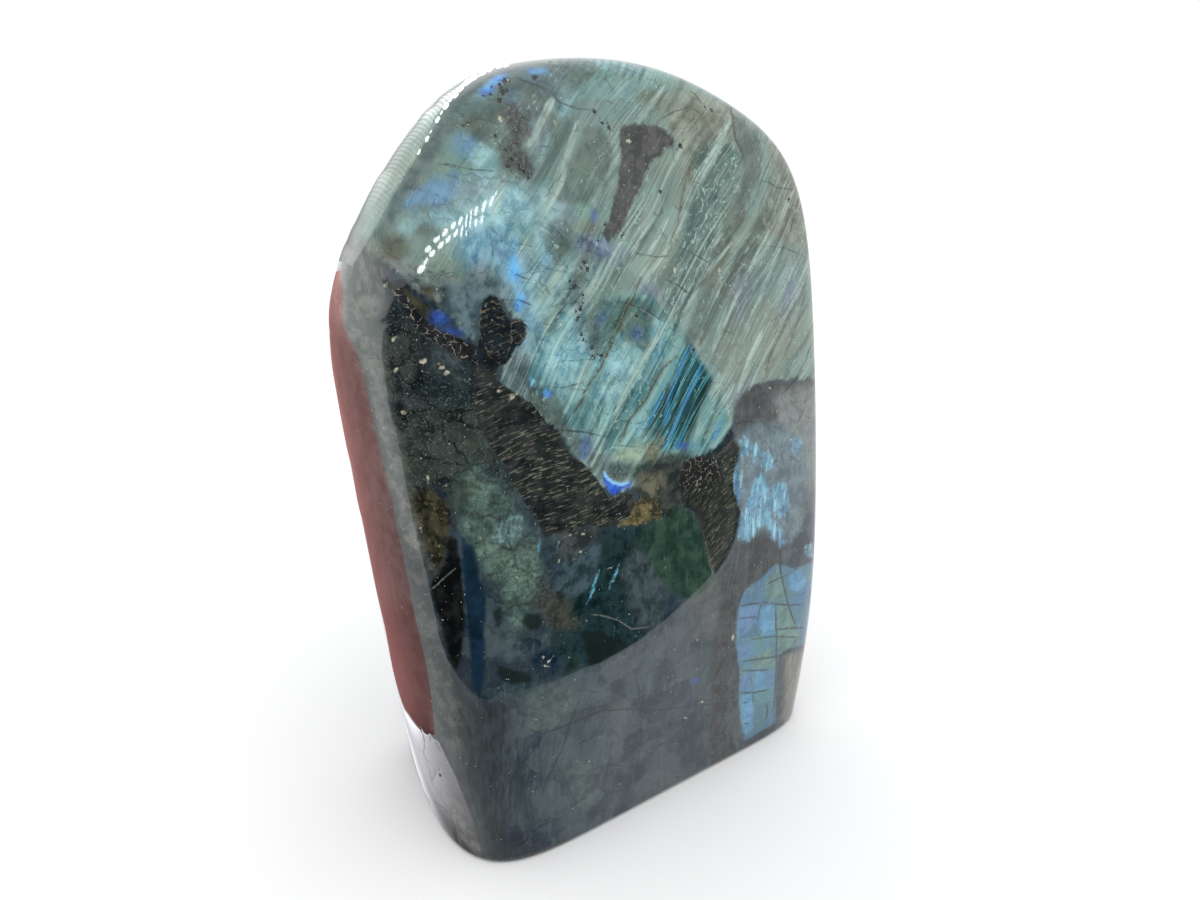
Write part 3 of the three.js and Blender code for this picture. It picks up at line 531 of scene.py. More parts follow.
LINES = {
    "pale": [
        ([(30.64, 153.06), (25.71, 142.08), (20.84, 134.26), (17.13, 126.07), (14.37, 121.19)], 0.81),
        ([(28.7, 127.12), (25.71, 122.85), (23.03, 118.47), (20.13, 114.33), (17.52, 110.28), (15.41, 106.74), (11.25, 100.7), (7.19, 93.97), (3.66, 86.86), (1.05, 81.49), (-1.32, 76.59)], 0.55),
        ([(32.73, 126.91), (27.08, 120.92), (23.37, 115.56), (18.56, 108.08)], 0.36),
        ([(-0.61, 99.99), (-1.46, 98.55), (-3.34, 94.9), (-5.2, 91.28), (-7.05, 87.49)], 0.59),
        ([(-4.06, 121.49), (-8.26, 114.36), (-11.59, 108.58), (-12.75, 105.87)], 0.65),
        ([(-18.1, 130.13), (-19.75, 125.12), (-21.22, 120.02)], 0.39),
        ([(-9.31, 145.88), (-12.38, 138.99), (-14.07, 135.91)], 0.72),
        ([(-4.67, 142.47), (-7.85, 130.94), (-11.72, 122.99)], 0.59),
        ([(11.44, 128.11), (6.17, 118.02), (2.73, 111.31)], 0.39),
        ([(15.17, 128.16), (11.11, 120.71), (8.91, 115.62)], 0.44),
        ([(45.28, 127.11), (38.39, 111.76), (34.01, 101.92), (30.13, 95.4), (26.37, 87.42), (24.39, 83.13)], 0.56),
        ([(49.75, 124.13), (43.35, 111.81), (37.72, 101.25), (34.39, 92.84)], 0.76),
        ([(41.6, 130.11), (34.51, 116.69), (29.94, 107.62), (26.96, 101.45)], 0.38),
        ([(9.94, 136.65), (6.27, 127.4), (3.71, 121.95)], 0.28),
        ([(29.25, 97.15), (27.26, 92.6), (25.29, 88.07), (23.12, 81.79)], 0.63),
        ([(33.19, 94.62), (30.59, 90.44), (28.04, 85.86), (25.75, 82.23)], 0.51),
        ([(1.38, 118.13), (-0.71, 113.62), (-2.78, 109.92)], 0.34),
        ([(-8.06, 108.96), (-10.04, 105.01), (-11.22, 101.91)], 0.39),
        ([(-13.99, 120.64), (-15.5, 117.19), (-16.44, 114.91)], 0.25),
    ],
    "dim": [
        ([(35.75, 126.95), (33.2, 121.77), (30.18, 115.73), (26.7, 108.85), (23.77, 102.75)], 1.02),
        ([(9.47, 81.86), (12.26, 85.28), (14.35, 89.59), (16.45, 93.94)], 0.55),
        ([(27.16, 95.49), (24.41, 90.72), (21.77, 83.58), (20.34, 79.58)], 0.53),
        ([(29.96, 92.69), (27.21, 86.3), (24.75, 80.2)], 0.37),
        ([(20.27, 100.14), (17.44, 93.76), (14.87, 87.88)], 0.42),
        ([(6.27, 110.52), (2.82, 103.02), (0.26, 97.67)], 0.46),
        ([(36.67, 137.47), (33.94, 131.23), (30.57, 126.14), (26.61, 119.37), (21.39, 113.13), (17.03, 105.48)], 0.36),
        ([(47.78, 130.1), (43.97, 123.28), (40.25, 115.12), (36.6, 107.08)], 0.24),
        ([(50.53, 115.37), (46.02, 106.72), (41.89, 99.43)], 0.24),
        ([(53.72, 118.17), (50.61, 108.3), (47.25, 100.92)], 0.23),
        ([(26.37, 95.23), (25.16, 92.08), (23.94, 89.16), (22.3, 83.13)], 0.44),
        ([(21.32, 98.91), (19.94, 93.86), (18.33, 88.38), (16.2, 83.57)], 0.38),
        ([(4.23, 95.88), (1.62, 91.71), (-0.1, 88.42)], 0.25),
        ([(-2.41, 117.97), (-5.66, 111.5), (-8.06, 106.7), (-10.44, 102.72)], 0.27),
        ([(8.79, 122.74), (6.17, 118.02), (3.58, 113.37)], 0.27),
        ([(-7.93, 148.63), (-10.29, 142.98), (-11.83, 138.21)], 0.25),
        ([(4.49, 111.12), (2.77, 107.38), (1.07, 104.07)], 0.21),
        ([(-5.31, 159.51), (-6.44, 153.14), (-7.51, 150.22)], 0.14),
        ([(-3.54, 159.86), (-4.76, 153.55), (-5.86, 150.21)], 0.14),
        ([(-1.72, 160.31), (-3.05, 153.98), (-4.18, 150.21)], 0.14),
        ([(0.13, 160.87), (-1.31, 154.45), (-2.45, 151.31)], 0.14),
        ([(2.03, 161.49), (0.45, 154.91), (-0.73, 151.31)], 0.15),
        ([(4.02, 162.32), (2.24, 155.35), (1.05, 152.38)], 0.17),
        ([(5.63, 161.33), (4.06, 155.8), (2.82, 152.35)], 0.14),
        ([(7.66, 162.09), (5.91, 156.27), (4.62, 152.33)], 0.15),
        ([(9.39, 161.56), (7.8, 156.78), (6.48, 153.42)], 0.15),
        ([(11.58, 162.64), (9.74, 157.34), (8.34, 153.4)], 0.17),
    ],
    "gilt": [
        ([(8.92, 115.02), (7.61, 111.47), (5.86, 108.28), (4.56, 105.16), (2.41, 100.6), (0.48, 96.68), (-1.64, 93.59), (-3.32, 91.14)], 0.25),
        ([(15.17, 85.3), (13.29, 82.27), (11.41, 79.7), (10.03, 77.14)], 0.32),
        ([(43.79, 103.05), (42.26, 97.81)], 0.27),
        ([(23.59, 146.4), (21.19, 141.69), (19.45, 137.32), (18.43, 132.78), (17.73, 128.42), (15.36, 121.64)], 0.20),
        ([(17.78, 99.77), (14.59, 97.12), (12.48, 93.67), (10.92, 90.77), (8.83, 88.3), (6.76, 85.86), (5.74, 83.03), (4.49, 81.13)], 0.29),
        ([(-3.28, 90.35), (-4.36, 88.73), (-5.19, 87.52)], 0.29),
        ([(31.94, 126.35), (28.91, 121.18), (24.9, 115.96)], 0.17),
    ],
    "bluerib": [
        ([(21.7, 103.25), (18.13, 95.94), (16.28, 90.5), (14.96, 84)], 0.51),
        ([(24.42, 98.66), (21.99, 93.51), (18.86, 87.3), (16.96, 83.13), (15.3, 80.08)], 0.57),
        ([(15.02, 92.17), (12.92, 88.28), (11.31, 84.84)], 0.59),
        ([(30.2, 86.34), (28.18, 81.76)], 0.50),
    ],
    "crack": [
        ([(-25.48, 137.27), (-22.57, 139.09), (-20.84, 138.89), (-18.73, 138.63)], 0.11),
        ([(-29.86, 129.72), (-27.37, 129.93), (-24.7, 129.72), (-22.65, 129.93), (-20.05, 130.27)], 0.11),
        ([(-16.72, 148.46), (-13.05, 147.82), (-9.87, 147.13), (-8.17, 145.39), (-4.46, 144.98), (-1.03, 145.64)], 0.16),
        ([(-12.48, 122.32), (-10.58, 121.73), (-9.23, 120.67)], 0.14),
        ([(20.49, 155.73), (21.94, 155.24), (23.07, 153.68)], 0.21),
        ([(31.2, 156.13), (31.35, 151.84), (31.74, 148.05), (33.35, 146.03), (34.17, 144.46)], 0.26),
        ([(37.27, 140.55), (40.99, 140.69), (43.96, 139.98), (49.04, 140.77)], 0.21),
        ([(21.61, 133.18), (24.39, 132.67)], 0.17),
        ([(2.09, 110.46), (5.84, 109.68), (9.93, 109.1), (14.93, 106.7)], 0.16),
        ([(56.28, 105.48), (54.68, 101.42), (51.31, 96.35), (47.39, 92.81)], 0.23),
        ([(-20.32, 107.67), (-15.94, 108.12), (-13.32, 107.3)], 0.12),
        ([(-16.83, 112.71), (-13.29, 111.88)], 0.12),
        ([(-8.66, 110.77), (-3.82, 111.71)], 0.11),
        ([(-11.6, 104.31), (-8.86, 103.99)], 0.10),
        ([(-11.06, 92.43), (-7.66, 92.17), (-3.75, 93.3)], 0.14),
        ([(-6.45, 97.47), (-3.98, 97.81), (-0.82, 98.2)], 0.11),
        ([(-40.48, 96.76), (-38.2, 96.48), (-35.44, 96.59)], 0.15),
        ([(-38.94, 86.39), (-35.09, 86.14), (-30.48, 86.83)], 0.13),
        ([(-40.03, 102.55), (-36.88, 103.09)], 0.09),
        ([(-29.78, 27.06), (-28.38, 24.35), (-26.2, 18.97)], 0.19),
        ([(-14.78, 20.81), (-11.79, 19.03), (-8.08, 19.7), (-4.28, 20.52), (1.03, 21.68), (7.37, 20.57), (16.25, 18), (24.26, 17.01), (31.92, 15.6), (39.71, 14.18)], 0.22),
        ([(-12.87, 19.24), (-11.99, 10.17), (-11.76, 4.27)], 0.15),
        ([(-3.68, 25.54), (-5.42, 21.05), (-7.35, 14.2), (-10.87, 6.73), (-11.75, 2.92)], 0.18),
        ([(-8.44, 10.59), (-6.07, 4.54), (-3.06, -4.05)], 0.14),
        ([(4.41, 14.3), (3.92, 7.67), (2.43, 1.15)], 0.15),
        ([(-24.43, -11.27), (-17.64, -9.99), (-15.36, -7.3), (-12.42, -5.22), (-7.1, -4.34)], 0.19),
        ([(-17.33, 18.94), (-16.97, 13.13), (-15.94, 6.5), (-15.32, 0.75)], 0.15),
        ([(8.96, 30.52), (10.7, 24.62), (11.24, 18.78)], 0.14),
        ([(5.39, 14.28), (11.85, 7.67), (19.36, 8.2), (25.18, 12.82)], 0.16),
        ([(9.65, 71.75), (13.19, 75.32), (15.32, 79.21)], 0.15),
        ([(4.8, 86.05), (8.01, 85.24), (11.29, 85.91)], 0.12),
        ([(1.2, 89.26), (-0.5, 83.95)], 0.10),
        ([(2.61, 80.86), (9.5, 80.37)], 0.12),
        ([(-8.07, 90.79), (-4.98, 87.92), (-8.07, 83.93)], 0.09),
        ([(-17.3, 62.44), (-14.15, 63.01), (-10.54, 62.32)], 0.11),
        ([(-20.01, 61.02), (-16.15, 59.93)], 0.11),
        ([(-21.97, 58.72), (-19.12, 55.48), (-15.22, 52.02)], 0.09),
        ([(-23.63, 70.64), (-19.92, 68.16), (-17.6, 70.4)], 0.09),
        ([(-31.97, 122.93), (-31.33, 120.64), (-30.29, 118.02)], 0.12),
        ([(-21.05, 120.05), (-20.73, 117.31), (-20.5, 114.79)], 0.13),
        ([(-12.4, 136.28), (-9.95, 136.65)], 0.10),
        ([(-15.73, 118.17), (-14.56, 118.22), (-13.26, 118.05)], 0.12),
        ([(-31.35, 111.38), (-31.04, 109.8), (-31.2, 107.43), (-31.56, 104.35)], 0.12),
        ([(-40.57, 102.95), (-38.67, 103.32), (-36.5, 103.42)], 0.11),
        ([(-39.54, 86.33), (-36.02, 86.52), (-30.68, 86.46)], 0.12),
        ([(-8.48, 83.93), (-5.6, 83.74), (-2.75, 83.48), (-0.06, 82.93), (1.7, 82.52), (3.71, 82.78)], 0.17),
        ([(12.51, 146.86), (16.23, 149.72), (20.07, 151.93), (23.33, 151.13)], 0.17),
        ([(7.46, 119.94), (12.89, 119.94), (15.39, 120.56)], 0.14),
        ([(17.2, 123.03), (22.48, 121.58), (25.89, 120.4)], 0.17),
        ([(14.85, 115.64), (17.9, 114.69), (20.73, 113.35)], 0.16),
        ([(39.31, 126.34), (46.29, 126.83), (54.19, 125.82)], 0.15),
        ([(50.75, 139.43), (49.02, 134.65), (47.78, 130.1)], 0.14),
        ([(37.47, 40.85), (40.54, 41.01), (44.25, 40.72)], 0.21),
        ([(44.58, 40.93), (49.31, 39.63), (53.61, 38.73), (58.76, 38.03)], 0.26),
        ([(37.36, 37.7), (40.19, 37.53), (43.16, 37.18)], 0.18),
        ([(49.25, 32.69), (54.31, 32.22), (59.72, 31.17)], 0.23),
        ([(37.86, 31.45), (41.33, 31.32), (45.76, 31.21), (49.44, 30.83), (53.9, 29.76), (58.3, 28.67)], 0.23),
        ([(38.7, 25.87), (43.57, 25.47), (47.05, 25.2), (50.87, 24.88), (54.47, 25.33), (57, 25.75)], 0.27),
        ([(39.29, 23.3), (43.93, 22.28), (49.08, 21.45)], 0.23),
        ([(39.64, 16.89), (43.96, 15.83), (46.92, 15.63), (49.91, 15.33)], 0.24),
        ([(43.96, 15.83), (44.4, 12.4)], 0.21),
        ([(47.78, 14.21), (49.6, 9.66), (49.75, 6.15)], 0.28),
        ([(44.25, 40.72), (43.52, 38.45), (43.27, 35.82)], 0.19),
        ([(44.59, 45), (47.99, 46.25), (51.62, 47), (54.81, 48.29), (57.59, 49.15)], 0.19),
        ([(48.74, 51.39), (50.68, 45.1), (53.12, 38.43), (54.64, 35.52), (56.56, 32.22)], 0.29),
        ([(48.58, 39.74), (49.74, 31.41), (50.77, 22.67), (51.12, 17.37), (52.04, 6.22)], 0.27),
        ([(40.72, 13.63), (42.67, 13.27)], 0.18),
        ([(41.83, 7.29), (43.89, 6.4)], 0.18),
        ([(42.41, 20.79), (43.31, 18.56)], 0.17),
        ([(60.87, 41.53), (60.58, 37.1)], 0.13),
        ([(56.21, 40.77), (59.16, 41.35)], 0.16),
        ([(55.21, 92.85), (54.43, 88.61), (52.6, 85.61)], 0.16),
        ([(41.04, 86.46), (43.53, 84.57), (47.01, 82.64)], 0.12),
        ([(42.23, 74.44), (42.69, 71.49)], 0.20),
        ([(44.36, 80.22), (45.13, 77.29)], 0.15),
        ([(33.85, 85.45), (37.53, 86.19), (40.48, 85.74)], 0.14),
        ([(49.6, 55.18), (52.39, 53.07), (54.96, 50.67)], 0.14),
        ([(49.02, 54.21), (49.85, 47.33)], 0.16),
        ([(55.9, 61.1), (57.77, 55.65), (60.53, 52.05)], 0.16),
        ([(-20.01, 61.62), (-17.71, 60.46), (-15.75, 60.51)], 0.14),
        ([(-22.51, 70.61), (-19.9, 69.53), (-17.6, 70.79)], 0.10),
        ([(-25.56, 67.79), (-22.95, 67.12), (-20.67, 68.19)], 0.10),
        ([(8.92, 60.17), (9.95, 56.5), (11.48, 53.62)], 0.11),
        ([(21.91, 18.49), (26.76, 17.76), (31.48, 17.02), (39.08, 15.81)], 0.16),
        ([(24.18, 34.23), (28.2, 32.45), (31.04, 32.7)], 0.12),
        ([(11.08, 21.96), (11.65, 11.09), (11.16, 1.29)], 0.15),
        ([(19.44, 22.54), (20.5, 15.22)], 0.13),
        ([(27.61, 17.82), (28.97, 9.45), (28.96, 3.49)], 0.14),
        ([(14.43, 8.85), (19.36, 8.2), (25.62, 7.78)], 0.13),
        ([(-0.69, 6.67), (4.72, 6.58), (11.04, 3.36)], 0.12),
        ([(-20.84, 11.15), (-16.57, 9.48), (-12.21, 9.17)], 0.11),
        ([(-5.74, 28.4), (1.14, 26.37), (8.36, 26.68)], 0.11),
        ([(-8.74, 19.36), (-9.57, 11.93), (-8.59, 3.67)], 0.11),
        ([(-38.59, 16.98), (-38.11, 15.05), (-38.17, 12.69), (-38.76, 10.07), (-37.87, 8.79), (-36.77, 8.52), (-35.34, 8.53)], 0.24),
        ([(-36.35, 16.98), (-36.4, 15.04)], 0.15),
        ([(-41.66, 9.5), (-38.93, 9.9), (-37.31, 5.66), (-36.81, 1.81)], 0.19),
        ([(-29.56, 27.09), (-29.21, 25.21), (-28.19, 23.65), (-27.18, 21.82), (-26.07, 18.99)], 0.17),
        ([(-38.24, -3.23), (-34.14, -2.61), (-31.97, -4.71)], 0.19),
        ([(-24.44, -11.56), (-21.25, -10.79), (-18.98, -9.8), (-16.27, -8.53)], 0.21),
        ([(-23.53, -2.72), (-22.48, -5.44), (-21.64, -7.66)], 0.15),
        ([(-34.94, 15.78), (-33.86, 13.55)], 0.11),
        ([(-37.32, 92.79), (-32.91, 93.43), (-28.14, 94.37)], 0.09),
        ([(-28.14, 94.37), (-28.58, 90.8), (-29.41, 87.01)], 0.08),
        ([(-29.41, 87.01), (-33.21, 86.66), (-37.4, 86)], 0.11),
        ([(-29.41, 87.01), (-24.22, 87.4)], 0.08),
        ([(-40.09, 96.74), (-36.87, 96.96), (-33.99, 97.09)], 0.09),
        ([(-39.08, 81.96), (-34.33, 82.85), (-31.37, 82.64)], 0.08),
        ([(-27.89, 83.9), (-27.46, 79.83)], 0.07),
    ],
    "vein": [
        ([(-34.07, 52.28), (-32.55, 53.47), (-31.05, 55.04), (-28.56, 57.21)], 0.12),
        ([(-1.8, 45.08), (1.24, 44.27), (4.99, 42.64), (8.37, 39.99), (12.88, 39.74)], 0.14),
    ],
    "etch": [
        ([(-22.29, 106.59), (-20.86, 107.44), (-19.43, 106.86)], 0.09),
        ([(-22.67, 105.32), (-20.88, 106.28), (-18.91, 105.66)], 0.09),
        ([(-22.87, 103.88), (-20.9, 104.94), (-18.56, 104.24)], 0.09),
        ([(-22.89, 102.46), (-20.73, 103.7), (-18.21, 102.82)], 0.09),
        ([(-22.91, 101.03), (-20.94, 102.07), (-18.59, 101.16)], 0.09),
        ([(-22.4, 99.45), (-20.6, 100.47), (-18.98, 99.31)], 0.09),
        ([(-21.71, 97.87), (-20.26, 98.86), (-19.36, 97.64)], 0.08),
        ([(-17.46, 103.79), (-15.79, 104.31), (-14.67, 103.11), (-15.06, 101.24), (-16.57, 99.65)], 0.11),
        ([(-17.84, 102.49), (-16.55, 102.41), (-15.62, 101.38)], 0.09),
        ([(-17.31, 100.7), (-16.2, 100.05)], 0.09),
        ([(-22.83, 105.83), (-23.41, 102.95), (-22.75, 100.33), (-21.36, 97.53), (-19.56, 96.16)], 0.11),
        ([(-20.5, 108.18), (-18.72, 106.39), (-17.46, 104.16), (-17.31, 100.7), (-18.45, 97.33)], 0.09),
    ],
    "wisp": [
        ([(-8.26, 114.64), (-5.9, 114.37), (-3.21, 114.07)], 0.10),
        ([(-3, 113.43), (-0.82, 112.55), (1.64, 112.21)], 0.10),
        ([(-10.62, 107.29), (-7.76, 108.24), (-4.43, 108.98)], 0.10),
        ([(0.87, 102.57), (3.98, 101.09), (7.61, 100.25)], 0.11),
        ([(-7.06, 101.57), (-4.37, 101.49), (-1.26, 101.32)], 0.10),
        ([(4.85, 100.06), (7.58, 99.02), (10.7, 98.54)], 0.11),
        ([(11.1, 108.7), (14.12, 107.46), (17.62, 106.31)], 0.11),
        ([(-9.07, 92.99), (-5.99, 92.15), (-2.37, 91.82)], 0.10),
        ([(2.74, 89.4), (5.09, 88.82), (7.74, 88.17)], 0.11),
        ([(-12.21, 98.92), (-10.17, 98.46), (-7.86, 98.44)], 0.10),
        ([(-5.07, 121.05), (-2.48, 120.25), (0.51, 119.54)], 0.10),
        ([(-12.89, 115.48), (-10.18, 114.5), (-7.02, 114.1)], 0.10),
        ([(-10.55, 131.03), (-8.41, 130.9), (-5.98, 130.76)], 0.10),
        ([(-7.83, 136.67), (-5.63, 136.05), (-3.13, 136)], 0.10),
        ([(-4.29, 131.92), (-1.34, 131.94), (2.11, 131.98)], 0.10),
        ([(-14.33, 124.59), (-11.88, 123.7), (-9.03, 123.4)], 0.09),
        ([(-9.8, 125.76), (-8.03, 125.21), (-6.08, 124.68)], 0.10),
        ([(-2.27, 137.9), (-0.13, 137.44), (2.29, 137.51)], 0.10),
        ([(0.64, 148.12), (3.48, 147.81), (6.79, 147.64)], 0.10),
        ([(8.4, 151.85), (11.55, 151.44), (15.27, 151.78)], 0.11),
        ([(-27.84, 134.28), (-26.09, 134.3), (-24.14, 134.31)], 0.09),
        ([(-25.4, 127.8), (-23.23, 127.16), (-20.74, 127.06)], 0.09),
        ([(-30.2, 128.4), (-28.41, 128.13), (-26.4, 127.88)], 0.08),
        ([(-24.64, 121.98), (-22.4, 121.28), (-19.8, 121.12)], 0.09),
        ([(-28.75, 117.85), (-27.23, 117.8), (-25.57, 117.67)], 0.08),
        ([(14.53, 103.23), (17.1, 101.95), (19.99, 101.3)], 0.11),
        ([(20.8, 126.36), (24.02, 125.32), (27.74, 124.42)], 0.12),
        ([(27.73, 132.97), (31.25, 131.78), (35.31, 131.34)], 0.12),
        ([(34, 122.43), (36.56, 121.75), (39.39, 121.08)], 0.13),
        ([(41.52, 119), (44.66, 118.02), (48.2, 117.71)], 0.13),
        ([(29.71, 106.61), (32.97, 105.7), (36.7, 104.83)], 0.13),
        ([(39.63, 109.73), (43.58, 108.11), (48.15, 107.25)], 0.13),
        ([(47.48, 108.13), (50.38, 107.27), (53.69, 106.43)], 0.14),
        ([(37.78, 100), (40.64, 98.77), (43.81, 98.19)], 0.13),
        ([(-34.1, 115.93), (-33.79, 114.63), (-33.69, 113.31)], 0.09),
        ([(-35.69, 113.56), (-34.95, 112.59), (-34.42, 111.62)], 0.09),
        ([(-41.81, 113.22), (-41.45, 112.17), (-41.34, 111.16)], 0.10),
        ([(-43.37, 115.56), (-43.05, 114.62), (-42.99, 113.75)], 0.10),
        ([(-44.71, 113.76), (-44.94, 112.58), (-45.45, 111.46)], 0.11),
        ([(-46.14, 111.62), (-45.92, 110.52), (-46, 109.49)], 0.11),
        ([(-42.51, 117.12), (-42.71, 116.11), (-43.16, 115.16)], 0.11),
        ([(-44.49, 119.67), (-44.75, 118.78), (-45.35, 118.05)], 0.13),
        ([(-40.97, 114.79), (-40.71, 113.59), (-40.7, 112.42)], 0.10),
        ([(-40.34, 112.06), (-40, 111.2), (-39.88, 110.37)], 0.10),
        ([(-45.57, 109.06), (-45.28, 108.15), (-45.26, 107.29)], 0.11),
        ([(-46.91, 114.41), (-46.98, 113.49), (-47.38, 112.7)], 0.13),
        ([(-41.79, 110.04), (-41.55, 109.02), (-41.54, 108.02)], 0.10),
        ([(-43.96, 110.84), (-43.58, 109.76), (-43.47, 108.74)], 0.10),
        ([(-29.19, 106.88), (-29.27, 106.1), (-29.57, 105.31)], 0.09),
        ([(-26.82, 106.02), (-26.57, 105.17), (-26.52, 104.31)], 0.10),
        ([(-24.68, 110.04), (-24.33, 109.29), (-24.19, 108.52)], 0.10),
        ([(35.4, 88.95), (37.94, 89.94), (41.53, 88.6), (45.41, 89.4)], 0.16),
        ([(42.77, 81.69), (45.05, 78.76), (47.16, 74.29)], 0.17),
        ([(49.98, 91.45), (53.42, 88.59), (57.82, 86.68)], 0.20),
        ([(47.86, 78.71), (49.38, 74.22), (51.87, 70.61)], 0.17),
        ([(43.67, 93.64), (48.35, 92.36), (53.12, 93.51)], 0.14),
        ([(40.15, 86.45), (44.14, 84.57), (47.47, 85.56)], 0.16),
        ([(54.84, 66.37), (57.19, 63.08), (56.1, 58.47)], 0.19),
        ([(50.48, 61.53), (52.76, 57.21)], 0.18),
        ([(37.63, 84.07), (40.38, 81.7), (42.05, 78.08)], 0.16),
        ([(47.79, 85.57), (48.32, 81.66), (47.54, 78.72)], 0.14),
        ([(38.97, 92.77), (41.35, 92.14), (44.31, 92.95)], 0.13),
    ],
    "slit": [
        ([(-35.23, 7.85), (-35.79, 5.73), (-36.63, 3.84)], 0.36),
        ([(-34.27, 8.97), (-35.07, 6.52)], 0.15),
        ([(-31.46, -6.79), (-31.23, -9.67), (-30.59, -11.71)], 0.40),
    ],
    "cres": [
        ([(1.22, 75.48), (2.01, 73.99), (3.37, 72.99), (5.2, 72.49), (7.05, 72.84)], 0.29),
    ],
}
PITS = [
    ((-12.65, 149.48), 0.57),
    ((-18.17, 147.74), 0.71),
    ((-18.35, 145.41), 0.63),
    ((-20.67, 145.69), 0.29),
    ((-20.83, 144.10), 0.25),
    ((-25.48, 137.27), 0.19),
    ((-19.81, 136.25), 0.31),
    ((-29.47, 123.03), 0.14),
    ((-1.24, 145.21), 0.29),
    ((0.40, 143.51), 0.26),
    ((1.86, 142.91), 0.29),
    ((17.77, 143.15), 0.42),
    ((25.59, 153.08), 0.41),
    ((47.36, 138.22), 0.36),
    ((13.20, 133.18), 0.23),
    ((5.00, 122.93), 0.39),
    ((-3.02, 116.37), 0.43),
    ((-2.60, 115.29), 0.32),
    ((-4.85, 111.97), 0.21),
    ((-3.61, 109.06), 0.32),
    ((-4.01, 107.49), 0.35),
    ((-4.42, 105.91), 0.29),
    ((8.12, 107.50), 0.34),
    ((-1.47, 100.13), 0.38),
    ((-3.79, 102.88), 0.35),
    ((-3.16, 101.77), 0.29),
    ((22.01, 101.55), 0.31),
    ((-34.54, 6.85), 0.43),
    ((-18.24, 134.30), 0.28),
    ((-17.00, 132.81), 0.31),
    ((-14.11, 130.22), 0.24),
    ((-15.57, 131.70), 0.26),
    ((1.11, 124.40), 0.29),
    ((-0.34, 121.32), 0.26),
    ((-11.77, 110.04), 0.16),
    ((0.25, 98.86), 0.30),
    ((-9.66, 154.55), 0.25),
    ((-5.86, 112.60), 0.18),
    ((-4.04, 115.48), 0.24),
    ((-3.40, 110.23), 0.16),
    ((-4.83, 107.41), 0.18),
    ((-2.33, 103.59), 0.18),
    ((-4.20, 101.49), 0.20),
    ((-1.03, 98.58), 0.21),
    ((0.91, 97.91), 0.19),
    ((-1.89, 100.49), 0.16),
    ((-3.43, 116.70), 0.20),
    ((-15.75, 132.01), 0.25),
    ((-17.02, 130.70), 0.29),
    ((-14.84, 131.14), 0.22),
    ((-13.55, 131.05), 0.22),
    ((-17.73, 131.60), 0.22),
    ((-16.31, 129.79), 0.22),
    ((-19.07, 146.63), 0.62),
    ((-18.53, 144.54), 0.42),
    ((-19.24, 143.18), 0.30),
    ((-21.88, 143.30), 0.17),
    ((1.23, 144.48), 0.20),
    ((-0.63, 144.59), 0.18),
    ((2.49, 142.30), 0.16),
    ((15.63, 143.25), 0.20),
    ((16.83, 142.12), 0.22),
    ((24.04, 153.06), 0.23),
]


def to_plane(points):
    return np.stack([points @ PLANE_U, points @ PLANE_V], 1)


def polygon_distance(p, outline):
    """Signed distance to a closed outline, positive inside."""
    v = np.array(outline, float)
    best = np.full(len(p), 1e9)
    inside = np.zeros(len(p), bool)
    for i in range(len(v)):
        a, b = v[i - 1], v[i]
        e = b - a
        w = p - a
        t = np.clip((w @ e) / max(1e-12, e @ e), 0, 1)
        d = w - t[:, None] * e
        best = np.minimum(best, (d * d).sum(1))
        up = (a[1] <= p[:, 1]) & (p[:, 1] < b[1]) & (e[0] * w[:, 1] < e[1] * w[:, 0])
        down = (b[1] <= p[:, 1]) & (p[:, 1] < a[1]) & (e[0] * w[:, 1] > e[1] * w[:, 0])
        inside ^= up | down
    best = np.sqrt(best)
    return np.where(inside, best, -best)


def line_distance(p, points, half, taper=1.0):
    """Distance inside a line of that half width, positive on the line. It thins towards its ends."""
    v = np.array(points, float)
    seg = np.linalg.norm(np.diff(v, axis=0), axis=1)
    run = np.concatenate([[0], np.cumsum(seg)])
    best = np.full(len(p), -1e9)
    for i in range(len(seg)):
        a, e = v[i], v[i + 1] - v[i]
        w = p - a
        t = np.clip((w @ e) / max(1e-12, e @ e), 0, 1)
        d = np.linalg.norm(w - t[:, None] * e, axis=1)
        s = (run[i] + t * seg[i]) / run[-1]
        width = half * (1 - taper + taper * np.clip(4.5 * np.minimum(s, 1 - s) + 0.35, 0, 1))
        best = np.maximum(best, width - d)
    return best


def ellipse_distance(p, centre, radii, turn):
    c, s = math.cos(math.radians(turn)), math.sin(math.radians(turn))
    d = p - np.array(centre)
    x = (c * d[:, 0] + s * d[:, 1]) / radii[0]
    y = (-s * d[:, 0] + c * d[:, 1]) / radii[1]
    return (1 - np.sqrt(x * x + y * y)) * min(radii)


def front_share(points, normals):
    """1 where the drawing plane sees the surface, falling to 0 round the turn."""
    return np.clip((normals @ PLANE_OUT + 0.10) / 0.10, 0, 1)


def near(p, corners, margin, measure):
    """The measure where it matters, near its corners, and FAR elsewhere."""
    low, high = np.min(corners, 0) - margin, np.max(corners, 0) + margin
    close = ((p >= low) & (p <= high)).all(1)
    out = np.full(len(p), -float(margin))
    if close.any():
        out[close] = np.maximum(-float(margin), measure(p[close]))
    return out


